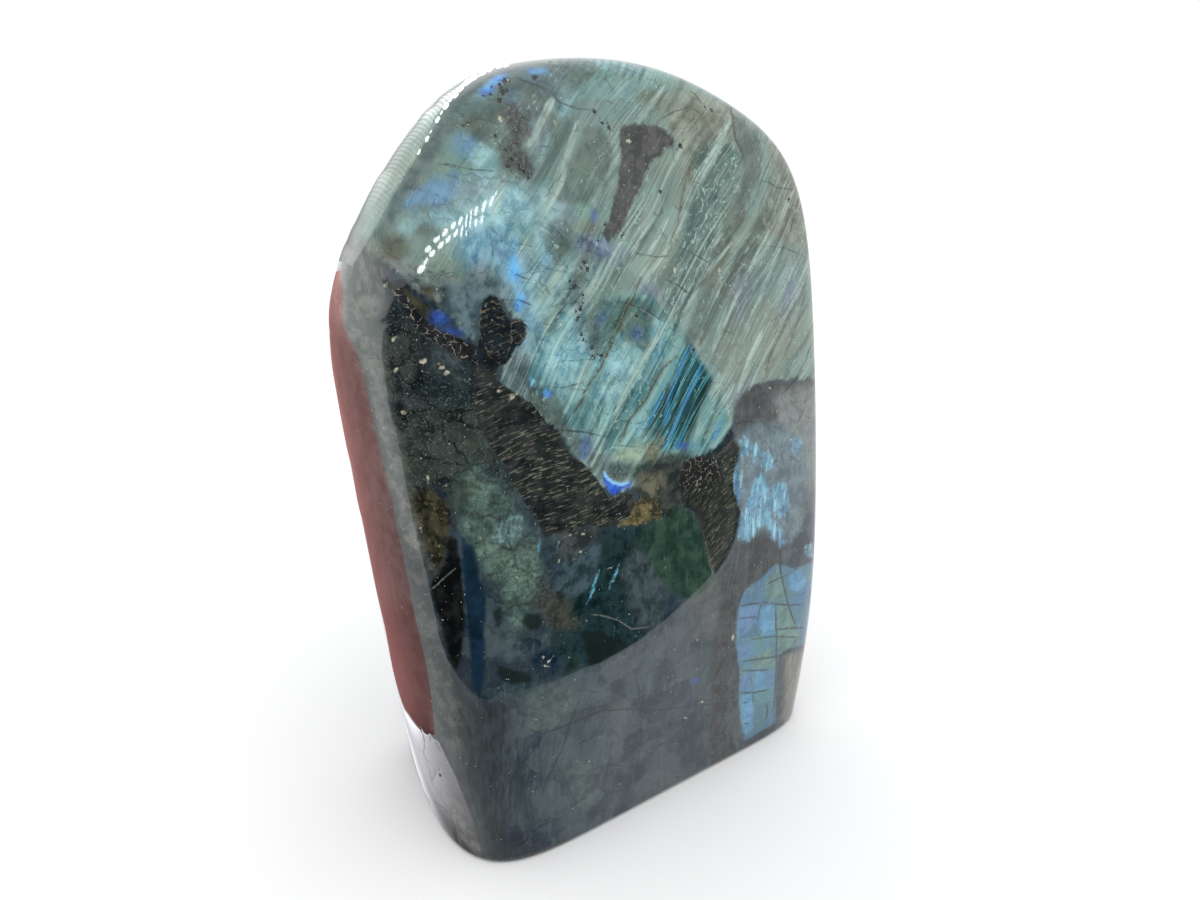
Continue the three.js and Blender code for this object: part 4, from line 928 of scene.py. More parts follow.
def fields(points, normals, wanted=None):
    """Every mark as a signed distance in mm at each point, no lower than a few mm outside it."""
    p = to_plane(points)
    seen = front_share(points, normals)
    out = {}
    for name, outlines in AREAS.items():
        if wanted is None or name in wanted:
            out[name] = np.max([near(p, o, 9, lambda q: polygon_distance(q, o)) for o in outlines], axis=0)
    for name, items in ELLIPSES.items():
        if wanted is None or name in wanted:
            out[name] = np.max([near(p, [np.array(c) - max(r), np.array(c) + max(r)], 7, lambda q: ellipse_distance(q, c, r, turn)) for c, r, turn in items], axis=0)
    for name, items in LINES.items():
        if wanted is None or name in wanted:
            out[name] = np.max([near(p, pts, 3.5, lambda q: line_distance(q, pts, half)) for pts, half in items], axis=0)
    if wanted is None or "pit" in wanted:
        out["pit"] = np.max([near(p, [c, c], 3, lambda q: r - np.linalg.norm(q - np.array(c), axis=1)) for c, r in PITS], axis=0)
    for name in out:
        out[name] = np.where(seen > 0, out[name] * seen - 9.0 * (1 - seen), -9.0)
    return out


# ------------------------------------------------------------------ the mesh
def lift_at_height(heading, height):
    low, high = np.full(len(heading), math.radians(-85)), np.zeros(len(heading))
    for _ in range(40):
        mid = (low + high) / 2
        d = directions_at(heading, mid)
        z = HEART[2] + d[:, 2] * reach(d)
        above = z > height
        high = np.where(above, mid, high)
        low = np.where(above, low, mid)
    return (low + high) / 2


def start_mesh(columns, rows, edge_steps=4, base_rings=5):
    """Rings of points from the middle of the base, round its edge and up to the crown, and the triangles between them."""
    heading = np.linspace(0, 2 * math.pi, columns, endpoint=False)
    low = lift_at_height(heading, EDGE_RADIUS)
    rim = on_surface(HEART + directions_at(heading, low))
    outward = np.stack([np.sin(heading), -np.cos(heading), 0 * heading], 1)
    rings = []
    foot = rim - outward * EDGE_RADIUS
    foot[:, 2] = 0
    centre = np.array([HEART[0], HEART[1], 0.0])
    for k in range(1, base_rings):
        rings.append(centre + (foot - centre) * (k / base_rings))
    for k in range(edge_steps):
        turn = math.pi / 2 * k / edge_steps
        ring = rim - outward * EDGE_RADIUS * (1 - math.sin(turn))
        ring[:, 2] = EDGE_RADIUS * (1 - math.cos(turn))
        rings.append(ring)
    fine = 240
    lifts = low[:, None] + (math.pi / 2 - low)[:, None] * np.linspace(0, 1, fine + 1)[None]
    h = np.repeat(heading[:, None], fine + 1, 1)
    pts = on_surface((HEART + directions_at(h.ravel(), lifts.ravel()))).reshape(columns, fine + 1, 3)
    run = np.concatenate([np.zeros((columns, 1)), np.cumsum(np.linalg.norm(np.diff(pts, axis=1), axis=2), 1)], 1)
    rise = np.zeros((rows, columns, 3))
    for c in range(columns):
        target = run[c, -1] * np.arange(rows) / rows
        for axis in range(3):
            rise[:, c, axis] = np.interp(target, run[c], pts[c, :, axis])
    rings.extend(rise)
    rings = np.array(rings)
    n_rings = len(rings)
    crown = on_surface(HEART + np.array([[0, 0, 1.0]]))
    verts = np.concatenate([rings.reshape(-1, 3), centre[None], crown])
    bottom, top = len(verts) - 2, len(verts) - 1
    c = np.arange(columns)
    n = (c + 1) % columns
    tris = [np.stack([np.full(columns, bottom), n, c], 1)]
    for r in range(n_rings - 1):
        a, b = r * columns, (r + 1) * columns
        tris.append(np.stack([a + c, a + n, b + n], 1))
        tris.append(np.stack([a + c, b + n, b + c], 1))
    a = (n_rings - 1) * columns
    tris.append(np.stack([a + c, a + n, np.full(columns, top)], 1))
    return verts, np.concatenate(tris)


def wanted_size(points):
    """The edge length wanted at each point, in mm: fine along the drawn marks."""
    normals = surface_normals(points)
    f = fields(points, normals, [mark[0] for mark in FINE_MARKS])
    facing = normals @ PLANE_OUT
    size = np.where(facing > 0.0, 1.05, 2.2)
    for name, fine, reach_mm in FINE_MARKS:
        d = np.abs(f[name]) if name in AREAS else np.maximum(0, -f[name])
        size = np.minimum(size, fine + d * reach_mm)
    size[points[:, 2] < 2.0] = 2.2
    return size


FINE_MARKS = (("crack", 0.30, 1.0), ("gilt", 0.34, 1.0), ("vein", 0.34, 1.0), ("etch", 0.34, 1.0), ("chip", 0.34, 0.9), ("wisp", 0.36, 1.0), ("slit", 0.34, 1.0), ("cres", 0.4, 0.8), ("ink", 0.42, 0.5), ("pit", 0.26, 0.9),
              ("pale", 0.45, 0.8), ("bluerib", 0.5, 0.8), ("smoke", 0.6, 0.6), ("gold", 0.5, 0.6), ("crescent", 0.5, 0.6), ("glint", 0.4, 0.6))


def refine(verts, tris, passes, limit):
    for _ in range(passes):
        e = np.sort(np.concatenate([tris[:, [0, 1]], tris[:, [1, 2]], tris[:, [2, 0]]]), axis=1)
        edges, inverse = np.unique(e, axis=0, return_inverse=True)
        inverse = inverse.reshape(3, -1).T
        length = np.linalg.norm(verts[edges[:, 0]] - verts[edges[:, 1]], axis=1)
        middle = (verts[edges[:, 0]] + verts[edges[:, 1]]) / 2
        want = wanted_size(middle)
        flat = (verts[edges[:, 0], 2] < EDGE_RADIUS) & (verts[edges[:, 1], 2] < EDGE_RADIUS)
        mark = (length > 1.45 * want) & ~flat
        # a split triangle also splits its longest edge, which keeps the shapes even
        le = length[inverse]
        longest = inverse[np.arange(len(tris)), le.argmax(1)]
        for _ in range(4):
            hit = mark[inverse].any(1)
            more = longest[hit]
            more = more[~flat[more]]
            if mark[more].all():
                break
            mark[more] = True
        if not mark.any() or len(tris) + 2 * mark.sum() > limit:
            print("refine stopped at", len(tris), "next", len(tris) + 2 * mark.sum())
            break
        index = np.full(len(edges), -1)
        index[mark] = len(verts) + np.arange(mark.sum())
        new = middle[mark]
        high = new[:, 2] > EDGE_RADIUS * 0.999
        new[high] = on_surface(new[high])
        verts = np.concatenate([verts, new])
        m = index[inverse]
        out = []
        a, b, c = tris.T
        ab, bc, ca = m.T
        k = (ab >= 0).astype(int) + (bc >= 0) * 2 + (ca >= 0) * 4
        s = k == 0
        out.append(tris[s])
        for code, (p, q, r, pq) in {1: (a, b, c, ab), 2: (b, c, a, bc), 4: (c, a, b, ca)}.items():
            s = k == code
            out += [np.stack([p[s], pq[s], r[s]], 1), np.stack([pq[s], q[s], r[s]], 1)]
        for code, (p, q, r, pq, qr) in {3: (a, b, c, ab, bc), 6: (b, c, a, bc, ca), 5: (c, a, b, ca, ab)}.items():
            s = k == code
            out += [np.stack([pq[s], q[s], qr[s]], 1), np.stack([p[s], pq[s], qr[s]], 1), np.stack([p[s], qr[s], r[s]], 1)]
        s = k == 7
        out += [np.stack([a[s], ab[s], ca[s]], 1), np.stack([ab[s], b[s], bc[s]], 1), np.stack([ca[s], bc[s], c[s]], 1), np.stack([ab[s], bc[s], ca[s]], 1)]
        tris = np.concatenate(out)
    return verts, tris

TRIANGLE_LIMIT = 190000


def vertex_normals(verts, tris):
    a, b, c = verts[tris[:, 0]], verts[tris[:, 1]], verts[tris[:, 2]]
    face = np.cross(b - a, c - a)
    n = np.zeros_like(verts)
    for axis in range(3):
        n[:, axis] = sum(np.bincount(tris[:, k], face[:, axis], len(verts)) for k in range(3))
    return n / np.maximum(1e-12, np.linalg.norm(n, axis=1, keepdims=True))


def rise(x, low, high):
    t = np.clip((x - low) / (high - low), 0, 1)
    return t * t * (3 - 2 * t)


def relief(f):
    """How far each point lies under the polish, in mm: pits, crack lips and the softer black mineral."""
    depth = 0.035 * rise(f["ink"], -0.15, 0.9)
    depth = np.maximum(depth, 0.03 * rise(f["smoke"], -0.2, 0.8))
    depth = np.maximum(depth, 0.02 * rise(f["smudge"], -0.2, 0.8))
    depth = np.maximum(depth, 0.03 * rise(f["crack"], -0.25, 0.12))
    depth = np.maximum(depth, 0.12 * rise(f["slit"], -0.14, 0.2))
    depth = np.maximum(depth, 0.02 * rise(f["gilt"], -0.4, 0.3))
    depth = np.maximum(depth, 0.30 * rise(f["pit"], -0.12, 0.35))
    return depth


started = start_mesh(184, 92)
verts, tris = refine(*started, passes=8, limit=TRIANGLE_LIMIT)
stone_normals = surface_normals(verts)
low_ring = verts[:, 2] < EDGE_RADIUS * 1.001
before = vertex_normals(verts, tris)
stone_normals[low_ring] = before[low_ring]
f = fields(verts, stone_normals)
depth = relief(f)
depth[low_ring] = 0
sunk = verts - stone_normals * depth[:, None]
after = vertex_normals(sunk, tris)
normals = stone_normals + (after - before)
normals /= np.linalg.norm(normals, axis=1, keepdims=True)
f["front"] = front_share(verts, stone_normals)
verts = sunk

mesh = bpy.data.meshes.new("labradorite_stone")
mesh.vertices.add(len(verts))
mesh.vertices.foreach_set("co", (verts * MM).astype(np.float32).ravel())
mesh.loops.add(len(tris) * 3)
mesh.loops.foreach_set("vertex_index", tris.astype(np.int32).ravel())
mesh.polygons.add(len(tris))
mesh.polygons.foreach_set("loop_start", np.arange(0, len(tris) * 3, 3, dtype=np.int32))
mesh.update(calc_edges=True)
mesh.validate()
mesh.polygons.foreach_set("use_smooth", np.ones(len(tris), bool))
mesh.normals_split_custom_set_from_vertices([tuple(n) for n in normals.tolist()])
for name, values in f.items():
    layer = mesh.attributes.new("m_" + name, "FLOAT", "POINT")
    layer.data.foreach_set("value", values.astype(np.float32))
stone = bpy.data.objects.new("labradorite_stone", mesh)
bpy.context.scene.collection.objects.link(stone)
print("stone", len(verts), "points", len(tris), "triangles")

# ------------------------------------------------------- nodes as expressions


class Value:
    """A number made by nodes, with ordinary arithmetic."""

    def __init__(self, socket):
        self.socket = socket

    def __add__(self, other):
        return calc("ADD", self, other)

    __radd__ = __add__

    def __sub__(self, other):
        return calc("SUBTRACT", self, other)

    def __rsub__(self, other):
        return calc("SUBTRACT", other, self)

    def __mul__(self, other):
        return calc("MULTIPLY", self, other)

    __rmul__ = __mul__


def node(kind, **settings):
    made = TREE.nodes.new(kind)
    for key, value in settings.items():
        setattr(made, key, value)
    return made


def feed(socket, value):
    if isinstance(value, Value):
        TREE.links.new(value.socket, socket)
    else:
        socket.default_value = value


def calc(operation, *values, clamp=False):
    n = node("ShaderNodeMath", operation=operation, use_clamp=clamp)
    for socket, value in zip(n.inputs, values):
        feed(socket, value)
    return Value(n.outputs[0])


def smooth(x, low, high, top=1.0):
    """0 below low and top above high, with a soft step between."""
    n = node("ShaderNodeMapRange", interpolation_type="SMOOTHSTEP")
    feed(n.inputs["Value"], x)
    n.inputs["From Min"].default_value = low
    n.inputs["From Max"].default_value = high
    n.inputs["To Max"].default_value = top
    return Value(n.outputs["Result"])


def both(a, b):
    return calc("MINIMUM", a, b)


def either(a, b):
    return calc("MAXIMUM", a, b)


def colour(r, g, b, haze=0.0):
    """Linear colour from the way it looks on screen, less the veil of reflected room."""
    out = []
    for v in (r, g, b):
        v = v / 255
        v = v / 12.92 if v <= 0.04045 else ((v + 0.055) / 1.055) ** 2.4
        out.append(max(0.0015, v - haze))
    return (*out, 1.0)


def veiled(r, g, b):
    return colour(r, g, b, 0.052)


def mix(mask, under, over, blend="MIX"):
    n = node("ShaderNodeMix", data_type="RGBA", blend_type=blend)
    feed(n.inputs[0], mask)
    feed(n.inputs[6], under)
    feed(n.inputs[7], over)
    return Value(n.outputs[2])


def axes(across, along, scales, source):
    """Coordinates turned so that X runs across and Y along, then multiplied by scales."""
    x = np.array(across, float)
    x /= np.linalg.norm(x)
    y = np.array(along, float)
    y -= x * (x @ y)
    y /= np.linalg.norm(y)
    r = np.stack([x, y, np.cross(x, y)], 1)
    n = node("ShaderNodeMapping", vector_type="TEXTURE")
    n.inputs["Rotation"].default_value = (math.atan2(r[2, 1], r[2, 2]), math.asin(-r[2, 0]), math.atan2(r[1, 0], r[0, 0]))
    n.inputs["Scale"].default_value = [1 / s for s in scales]
    feed(n.inputs["Vector"], source)
    return Value(n.outputs[0])


def moved(source, by=(0.0, 0.0, 0.0), scale=1.0):
    """Coordinates scaled, then shifted by an amount that may itself be made by nodes."""
    n = node("ShaderNodeMapping", vector_type="POINT")
    n.inputs["Scale"].default_value = (scale, scale, scale)
    feed(n.inputs["Location"], by)
    feed(n.inputs["Vector"], source)
    return Value(n.outputs[0])


def noise(where, scale=1.0, detail=3.0, rough=0.5, twist=0.0, output="Fac"):
    n = node("ShaderNodeTexNoise")
    feed(n.inputs["Vector"], where)
    n.inputs["Scale"].default_value = scale
    n.inputs["Detail"].default_value = detail
    n.inputs["Roughness"].default_value = rough
    n.inputs["Distortion"].default_value = twist
    return Value(n.outputs[output])


def cells(where, scale=1.0, feature="F1", output="Distance", randomness=1.0):
    n = node("ShaderNodeTexVoronoi", feature=feature)
    feed(n.inputs["Vector"], where)
    n.inputs["Scale"].default_value = scale
    n.inputs["Randomness"].default_value = randomness
    return Value(n.outputs[output])


def cell_node(where, scale=1.0):
    n = node("ShaderNodeTexVoronoi", feature="F1")
    feed(n.inputs["Vector"], where)
    n.inputs["Scale"].default_value = scale
    return n


def drawn(name):
    return Value(node("ShaderNodeAttribute", attribute_type="GEOMETRY", attribute_name="m_" + name).outputs["Fac"])


def vector(operation, *values):
    n = node("ShaderNodeVectorMath", operation=operation)
    for socket, value in zip(n.inputs, values):
        feed(socket, value)
    return Value(n.outputs[0])


def split(value, part):
    return Value(node_link("ShaderNodeSeparateColor", value).outputs[part])


def node_link(kind, value):
    n = node(kind)
    feed(n.inputs[0], value)
    return n

# ---------------------------------------------------------------- the material
stone_material = bpy.data.materials.new("labradorite_polished")
stone_material.use_nodes = True
TREE = stone_material.node_tree
TREE.nodes.clear()

coords = node("ShaderNodeTexCoord")
P = moved(Value(coords.outputs["Object"]), scale=1000.0)
swirl = noise(P, 0.045, 0.0, 0.5, output="Color")
swirl = vector("MULTIPLY", vector("SUBTRACT", swirl, (0.5, 0.5, 0.5)), (5.0, 5.0, 5.0))
ripple = noise(P, 0.55, 1.0, 0.6, output="Color")
ripple = vector("MULTIPLY", vector("SUBTRACT", ripple, (0.5, 0.5, 0.5)), (2.2, 2.2, 2.2))
Q = moved(P, swirl)
R = moved(Q, ripple)

# Lamellae are planes through the whole stone. ACROSS is their normal, ALONG runs
# in them. LEVEL lies level across the broad face.
ACROSS = -0.84 * PLANE_U + 0.54 * PLANE_V + 0.15 * PLANE_OUT
ALONG = 0.54 * PLANE_U + 0.84 * PLANE_V
LEVEL = PLANE_U
UPRIGHT = PLANE_V

edge = noise(Q, 0.28, 2.0, 0.62) - 0.5
fray = noise(Q, 1.1, 2.0, 0.62) - 0.5
mottle = noise(Q, 0.10, 3.0, 0.66)
blotch = noise(moved(Q, (61.0, 17.0, 5.0)), 0.27, 4.0, 0.70)
grain = noise(Q, 2.6, 1.0, 0.6)
hue = noise(moved(Q, (9.0, 140.0, 40.0)), 0.035, 1.0, 0.5)
fibre = noise(axes(ACROSS, ALONG, (0.50, 0.013, 0.05), Q), 1.0, 3.0, 0.76)
hair = noise(axes(ACROSS, ALONG, (2.8, 0.05, 0.20), Q), 1.0, 1.0, 0.6)
slat = noise(axes(ACROSS, ALONG, (0.62, 0.016, 0.06), R), 1.0, 0.0)
upright = noise(axes(LEVEL, UPRIGHT, (0.9, 0.07, 0.4), Q), 1.0, 3.0, 0.68)
ticks = noise(axes(LEVEL - 0.40 * UPRIGHT, UPRIGHT + 0.40 * LEVEL, (2.4, 0.62, 0.8), R), 1.0, 1.0, 0.5)
slab_cells = cell_node(axes(ACROSS, ALONG + 0.25 * ACROSS, (0.24, 0.055, 0.06), R))
slab = split(Value(slab_cells.outputs["Color"]), 0)
slab_b = split(Value(slab_cells.outputs["Color"]), 1)
twin = noise(axes(ACROSS, ALONG, (0.20, 0.008, 0.02), Q), 1.0, 0.0)
brick_axes = axes(UPRIGHT + 0.12 * LEVEL, LEVEL, (0.150, 0.085, 0.09), R)
block_cells = cell_node(brick_axes)
block = split(Value(block_cells.outputs["Color"]), 0)
block_b = split(Value(block_cells.outputs["Color"]), 1)
brick = cells(brick_axes, 1.0, "DISTANCE_TO_EDGE")
crackle = cells(axes(UPRIGHT, LEVEL, (0.60, 0.46, 0.5), R), 1.0, "DISTANCE_TO_EDGE")
dust = noise(Q, 2.2, 0.0)
front = drawn("front")


def area(name, wobble=2.0, frays=0.5, soft=0.4, top=1.0):
    return smooth(drawn(name) + edge * wobble + fray * frays, -soft, soft, top)


def tone(a, low, high, dark, light):
    return mix(smooth(a, low, high), dark, light)


# ---- the dark body of the stone, and painted shade in its lower left
body = tone(mottle, 0.38, 0.62, veiled(64, 72, 80), veiled(86, 95, 100))
body = mix(smooth(block, 0.15, 0.95, 0.50), body, veiled(98, 106, 106))
body = mix(smooth(block_b, 0.55, 1.0, 0.55), body, veiled(60, 67, 74))
body = mix(smooth(blotch, 0.50, 0.70, 0.40), body, veiled(86, 90, 96))
body = mix(smooth(blotch, 0.46, 0.28, 0.6), body, veiled(72, 86, 84))
body = mix(smooth(upright, 0.54, 0.74, 0.45), body, veiled(106, 116, 114))
body = mix(smooth(upright, 0.46, 0.24, 0.50), body, veiled(56, 62, 70))
body = mix(smooth(grain, 0.58, 0.80, 0.25), body, veiled(118, 122, 118))
# painted shade: the lower left corner is painted near black, where the polish mirrors a dark surround
body = mix(area("gloom", 4.0, 1.0, 3.0, 0.90), body, tone(upright, 0.36, 0.68, colour(19, 24, 27), colour(43, 50, 54)))
body = mix(area("bluesheen", 3.0, 1.5, 3.0, 0.8), body, tone(upright, 0.36, 0.68, colour(34, 42, 45), colour(60, 72, 75)))
body = mix(area("fog", 3.0, 1.0, 2.4, 0.6), body, tone(blotch, 0.4, 0.62, veiled(88, 98, 96), veiled(108, 118, 112)))
body = mix(area("brownblock", 1.6, 0.5, 0.6, 0.45), body, tone(blotch, 0.4, 0.62, veiled(88, 90, 88), veiled(110, 111, 106)))

# ---- the lamellar field, on the front as drawn and elsewhere by a broad noise
wild = smooth(noise(moved(Q, (30.0, 5.0, 77.0)), 0.017, 2.0, 0.55) + (fibre - 0.5) * 0.30, 0.44, 0.55)
field_drawn = smooth(drawn("field") + edge * 2.2 + fray * 0.8 + (fibre - 0.5) * 3.0, -0.5, 0.5)
field_mask = calc("ADD", front * field_drawn, (1.0 - front) * wild, clamp=True)
lively = 1.0 - smooth(drawn("calm") + edge * 8, -5.0, 5.0, 0.62)

lam = tone(hue, 0.36, 0.64, veiled(104, 134, 134), veiled(122, 134, 124))
lam = mix(smooth(twin, 0.42, 0.60, 0.50), lam, veiled(140, 158, 148))
lam = mix(smooth(twin, 0.44, 0.38, 0.60), lam, veiled(86, 100, 97))
lam = mix(smooth(block, 0.2, 1.0, 0.30), lam, veiled(118, 158, 156))
lam = mix(smooth(block_b, 0.5, 1.0, 0.30), lam, veiled(98, 108, 103))
lam = mix(smooth(slab, 0.45, 1.0, 0.40), lam, veiled(136, 152, 142))
lam = mix(smooth(slab_b, 0.55, 1.0, 0.40), lam, veiled(98, 110, 104))
lam = mix(smooth(mottle, 0.52, 0.68, 0.50), lam, veiled(144, 154, 142))
lam = mix(smooth(blotch, 0.48, 0.28, 0.50), lam, veiled(92, 122, 122))


def tint(name, wobble=4.0, frays=2.0, low=-2.0, high=2.2, top=0.85):
    return smooth(drawn(name) + edge * wobble + fray * frays, low, high, top)


lam = mix(tint("green", 4.0, 1.0, -4.0, 3.0, 0.60), lam, veiled(112, 150, 138))
lam = mix(tint("cream", 5.0, 1.0, -4.0, 5.0, 0.50), lam, veiled(138, 144, 128))
lam = mix(area("warm", 2.5, 0.5, 1.6, 0.75), lam, tone(blotch, 0.4, 0.6, veiled(112, 114, 102), veiled(142, 146, 132)))
lam = mix(tint("drab", 3.0, 1.6, -1.8, 1.8, 0.80), lam, veiled(98, 102, 86))
lam = mix(tint("blue", 5.0, 2.6, -2.0, 2.2, 0.86), lam, tone(blotch, 0.36, 0.64, veiled(80, 116, 158), veiled(108, 154, 190)))
lam = mix(tint("lav", 4.0, 2.0, -2.2, 2.4, 0.75), lam, tone(blotch, 0.36, 0.64, veiled(112, 118, 136), veiled(138, 148, 168)))
lam = mix(area("mauvegrey", 4.0, 1.4, 2.0, 0.80), lam, tone(blotch, 0.38, 0.62, veiled(84, 92, 96), veiled(118, 126, 136)))
lam = mix(area("tickland", 2.0, 0.6, 1.2, 0.8), lam, tone(blotch, 0.38, 0.62, veiled(72, 92, 92), veiled(96, 118, 112)))

deep = smooth(drawn("deep") + edge * 4.0 + fray * 1.0, -2.0, 2.0)
teal = tone(fibre, 0.40, 0.66, colour(62, 112, 118), colour(122, 178, 178))
teal = mix(smooth(block, 0.3, 0.9, 0.45), teal, colour(106, 166, 178))
teal = mix(smooth(slab, 0.40, 1.0, 0.55), teal, colour(132, 176, 174))
teal = mix(smooth(slab_b, 0.50, 1.0, 0.60), teal, colour(70, 112, 116))
teal = mix(smooth(twin, 0.44, 0.38, 0.75), teal, colour(50, 100, 106))
teal = mix(smooth(blotch, 0.52, 0.68, 0.5), teal, colour(130, 158, 140))
lam = mix(deep * 0.78, lam, teal)
# painted highlight: a brighter cyan glow round the highlight on the left shoulder
lam = mix(area("shine", 4.0, 1.5, 2.5, 0.50), lam, tone(blotch, 0.36, 0.62, colour(100, 148, 158), colour(160, 204, 208)))
lam = mix(tint("aqua", 4.0, 2.4, -2.2, 2.0, 0.72), lam, tone(blotch, 0.36, 0.64, colour(104, 158, 174), colour(162, 210, 216)))

# fibres, stronger in some lamellae than in others
strength = (0.40 + smooth(twin, 0.42, 0.60, 0.5)) * lively
lam = mix(smooth(slat, 0.500, 0.512) * smooth(twin, 0.56, 0.46, 0.26) * lively, lam, mix(0.55, lam, colour(176, 196, 182)))
lam = mix(smooth(slat, 0.400, 0.388) * 0.36 * lively, lam, mix(0.55, lam, colour(44, 60, 56)))
lam = mix(smooth(fibre, 0.52, 0.70) * strength * 0.80, lam, mix(0.62, lam, colour(188, 210, 198)))
lam = mix(smooth(fibre, 0.47, 0.30) * strength * 0.80, lam, mix(0.66, lam, colour(34, 48, 42)))
lam = mix(smooth(hair, 0.55, 0.74) * strength * 0.45, lam, mix(0.70, lam, colour(204, 226, 214)))
lam = mix(smooth(hair, 0.45, 0.28) * strength * 0.55, lam, mix(0.62, lam, colour(26, 38, 34)))

cobalt = smooth(drawn("cobalt") + edge * 2.4, -1.2, 1.2)
azure = tone(fibre, 0.42, 0.60, colour(11, 42, 46), colour(54, 124, 142))
azure = mix(smooth(hair, 0.53, 0.66, 0.85), azure, colour(112, 190, 196))
azure = mix(smooth(hair, 0.48, 0.38, 0.92), azure, colour(12, 34, 32))
azure = mix(smooth(slat, 0.47, 0.42, 0.7), azure, colour(24, 52, 44))
lam = mix(cobalt * 0.92, lam, azure)

# broad pale and dim lamellae, then a painted haze of reflection and a partly painted dark band by the left shoulder
lam = mix(area("dusk", 2.0, 0.7, 0.8, 0.64), lam, tone(blotch, 0.38, 0.62, veiled(76, 85, 83), veiled(102, 112, 104)))
lam = mix(smooth(drawn("dim") + edge * 0.8 + fray * 0.3, -0.5, 0.35, 0.65), lam, tone(hair, 0.36, 0.62, veiled(62, 70, 66), veiled(94, 102, 96)))
lam = mix(smooth(drawn("bluerib") + edge * 0.4, -0.25, 0.22, 0.8), lam, tone(hair, 0.40, 0.60, colour(36, 88, 122), colour(84, 148, 180)))
pale_tone = tone(hair, 0.38, 0.62, colour(122, 144, 138), colour(168, 190, 178))
lam = mix(smooth(drawn("pale") + edge * 0.6 + fray * 0.3, -0.40, 0.26) * smooth(mottle, 0.32, 0.56, 0.74), lam, pale_tone)
tick_zone = either(smooth(twin, 0.51, 0.56) * smooth(blotch, 0.44, 0.58) * 0.8, area("tickland", 2.0, 0.6, 1.2))
lam = mix(smooth(ticks, 0.615, 0.680) * tick_zone * 0.75, lam, veiled(158, 192, 182))
lam = mix(smooth(ticks, 0.34, 0.26) * tick_zone * 0.5, lam, veiled(66, 84, 82))
lam = mix(smooth(drawn("gilt") + edge * 0.6 + fray * 1.0, -0.80, 0.25, 0.50), lam, colour(92, 96, 74))
lam = mix(smooth(drawn("gilt") + edge * 0.4 + fray * 0.9, -0.08, 0.22, 0.62), lam, colour(60, 60, 42))
# painted reflection: a pale grey haze next to the edge of the dark reflection on the left shoulder
lam = mix(area("mist", 4.0, 1.2, 3.0, 0.82), lam, tone(blotch, 0.36, 0.64, veiled(84, 90, 90), veiled(140, 146, 146)))
lam = mix(area("umber", 2.0, 1.0, 0.9, 0.85), lam, tone(blotch, 0.4, 0.6, veiled(62, 60, 50), veiled(94, 92, 74)))
# partly the stone's own dim band and partly painted shade, its tone set to meet the edge of the reflected rim
lam = mix(area("duskband", 1.6, 0.5, 1.2, 0.85), lam, tone(blotch, 0.38, 0.62, veiled(82, 94, 95), veiled(106, 117, 116)))
lam = mix(tint("sky", 1.6, 0.8, -0.9, 0.8, 0.85), lam, tone(mottle, 0.38, 0.60, colour(58, 118, 214), colour(104, 180, 236)))
lam = mix(tint("navyspot", 1.6, 1.6, -0.8, 0.8, 0.75), lam, tone(fray, -0.1, 0.1, colour(54, 74, 108), colour(88, 112, 152)))

face = mix(field_mask, body, lam)

# ---- the drawn bodies below and beside the field
coal = tone(blotch, 0.38, 0.62, colour(17, 22, 24), colour(53, 61, 60))
coal = mix(smooth(upright, 0.56, 0.74, 0.50), coal, colour(66, 80, 82))
coal = mix(smooth(block, 0.45, 0.95, 0.60), coal, colour(56, 64, 58))
coal = mix(smooth(block_b, 0.6, 1.0, 0.65), coal, colour(26, 40, 46))
coal = mix(smooth(brick, 0.035, 0.010, 0.7), coal, colour(12, 16, 16))
coal = mix(smooth(grain, 0.58, 0.70, 0.45), coal, colour(116, 120, 104))
face = mix(area("olivemist", 2.6, 1.4, 1.4, 0.8), face, tone(blotch, 0.4, 0.62, veiled(70, 70, 58), veiled(98, 96, 80)))
face = mix(area("mistblue", 3.0, 1.4, 1.4, 0.75), face, tone(blotch, 0.38, 0.62, veiled(78, 92, 98), veiled(104, 124, 130)))
face = mix(area("coal", 3.0, 1.4, 1.2), face, coal)
olive = tone(blotch, 0.40, 0.62, colour(24, 25, 20), colour(60, 58, 44))
olive = mix(smooth(fray, 0.06, 0.16, 0.50), olive, colour(92, 88, 68))
face = mix(area("olive", 3.5, 1.4, 1.2), face, olive)
lens = tone(blotch, 0.38, 0.64, colour(50, 64, 62), colour(88, 110, 102))
lens = mix(smooth(upright, 0.56, 0.74, 0.45), lens, colour(112, 136, 124))
lens = mix(smooth(mottle, 0.50, 0.34, 0.75), lens, colour(50, 56, 52))
lens = mix(smooth(block, 0.5, 1.0, 0.45), lens, colour(78, 104, 110))
lens = mix(smooth(brick, 0.06, 0.02, 0.5), lens, colour(46, 50, 42))
lens = mix(area("mint", 3.0, 3.0, 1.8, 0.50), lens, tone(fray, -0.12, 0.14, colour(76, 96, 88), colour(116, 140, 124)))
lens = mix(smooth(crackle, 0.09, 0.0) * smooth(mottle, 0.42, 0.54, 0.65), lens, colour(48, 56, 50))
face = mix(area("lens", 4.0, 1.6, 1.6), face, lens)
face = mix(area("shard", 1.4, 1.0, 0.6, 0.6), face, tone(fray, -0.1, 0.12, colour(74, 100, 102), colour(122, 152, 152)))
abyss = tone(blotch, 0.36, 0.66, colour(10, 28, 29), colour(36, 56, 60))
abyss = mix(smooth(mottle, 0.54, 0.70, 0.5), abyss, colour(44, 58, 50))
abyss = mix(smooth(upright, 0.56, 0.74, 0.5), abyss, colour(52, 76, 78))
abyss = mix(smooth(block, 0.5, 1.0, 0.45), abyss, colour(46, 60, 60))
face = mix(area("abyss", 3.0, 1.2, 1.6), face, abyss)
face = mix(area("gem", 2.4, 1.2, 0.8, 0.75), face, tone(blotch, 0.38, 0.62, colour(38, 52, 58), colour(72, 90, 98)))
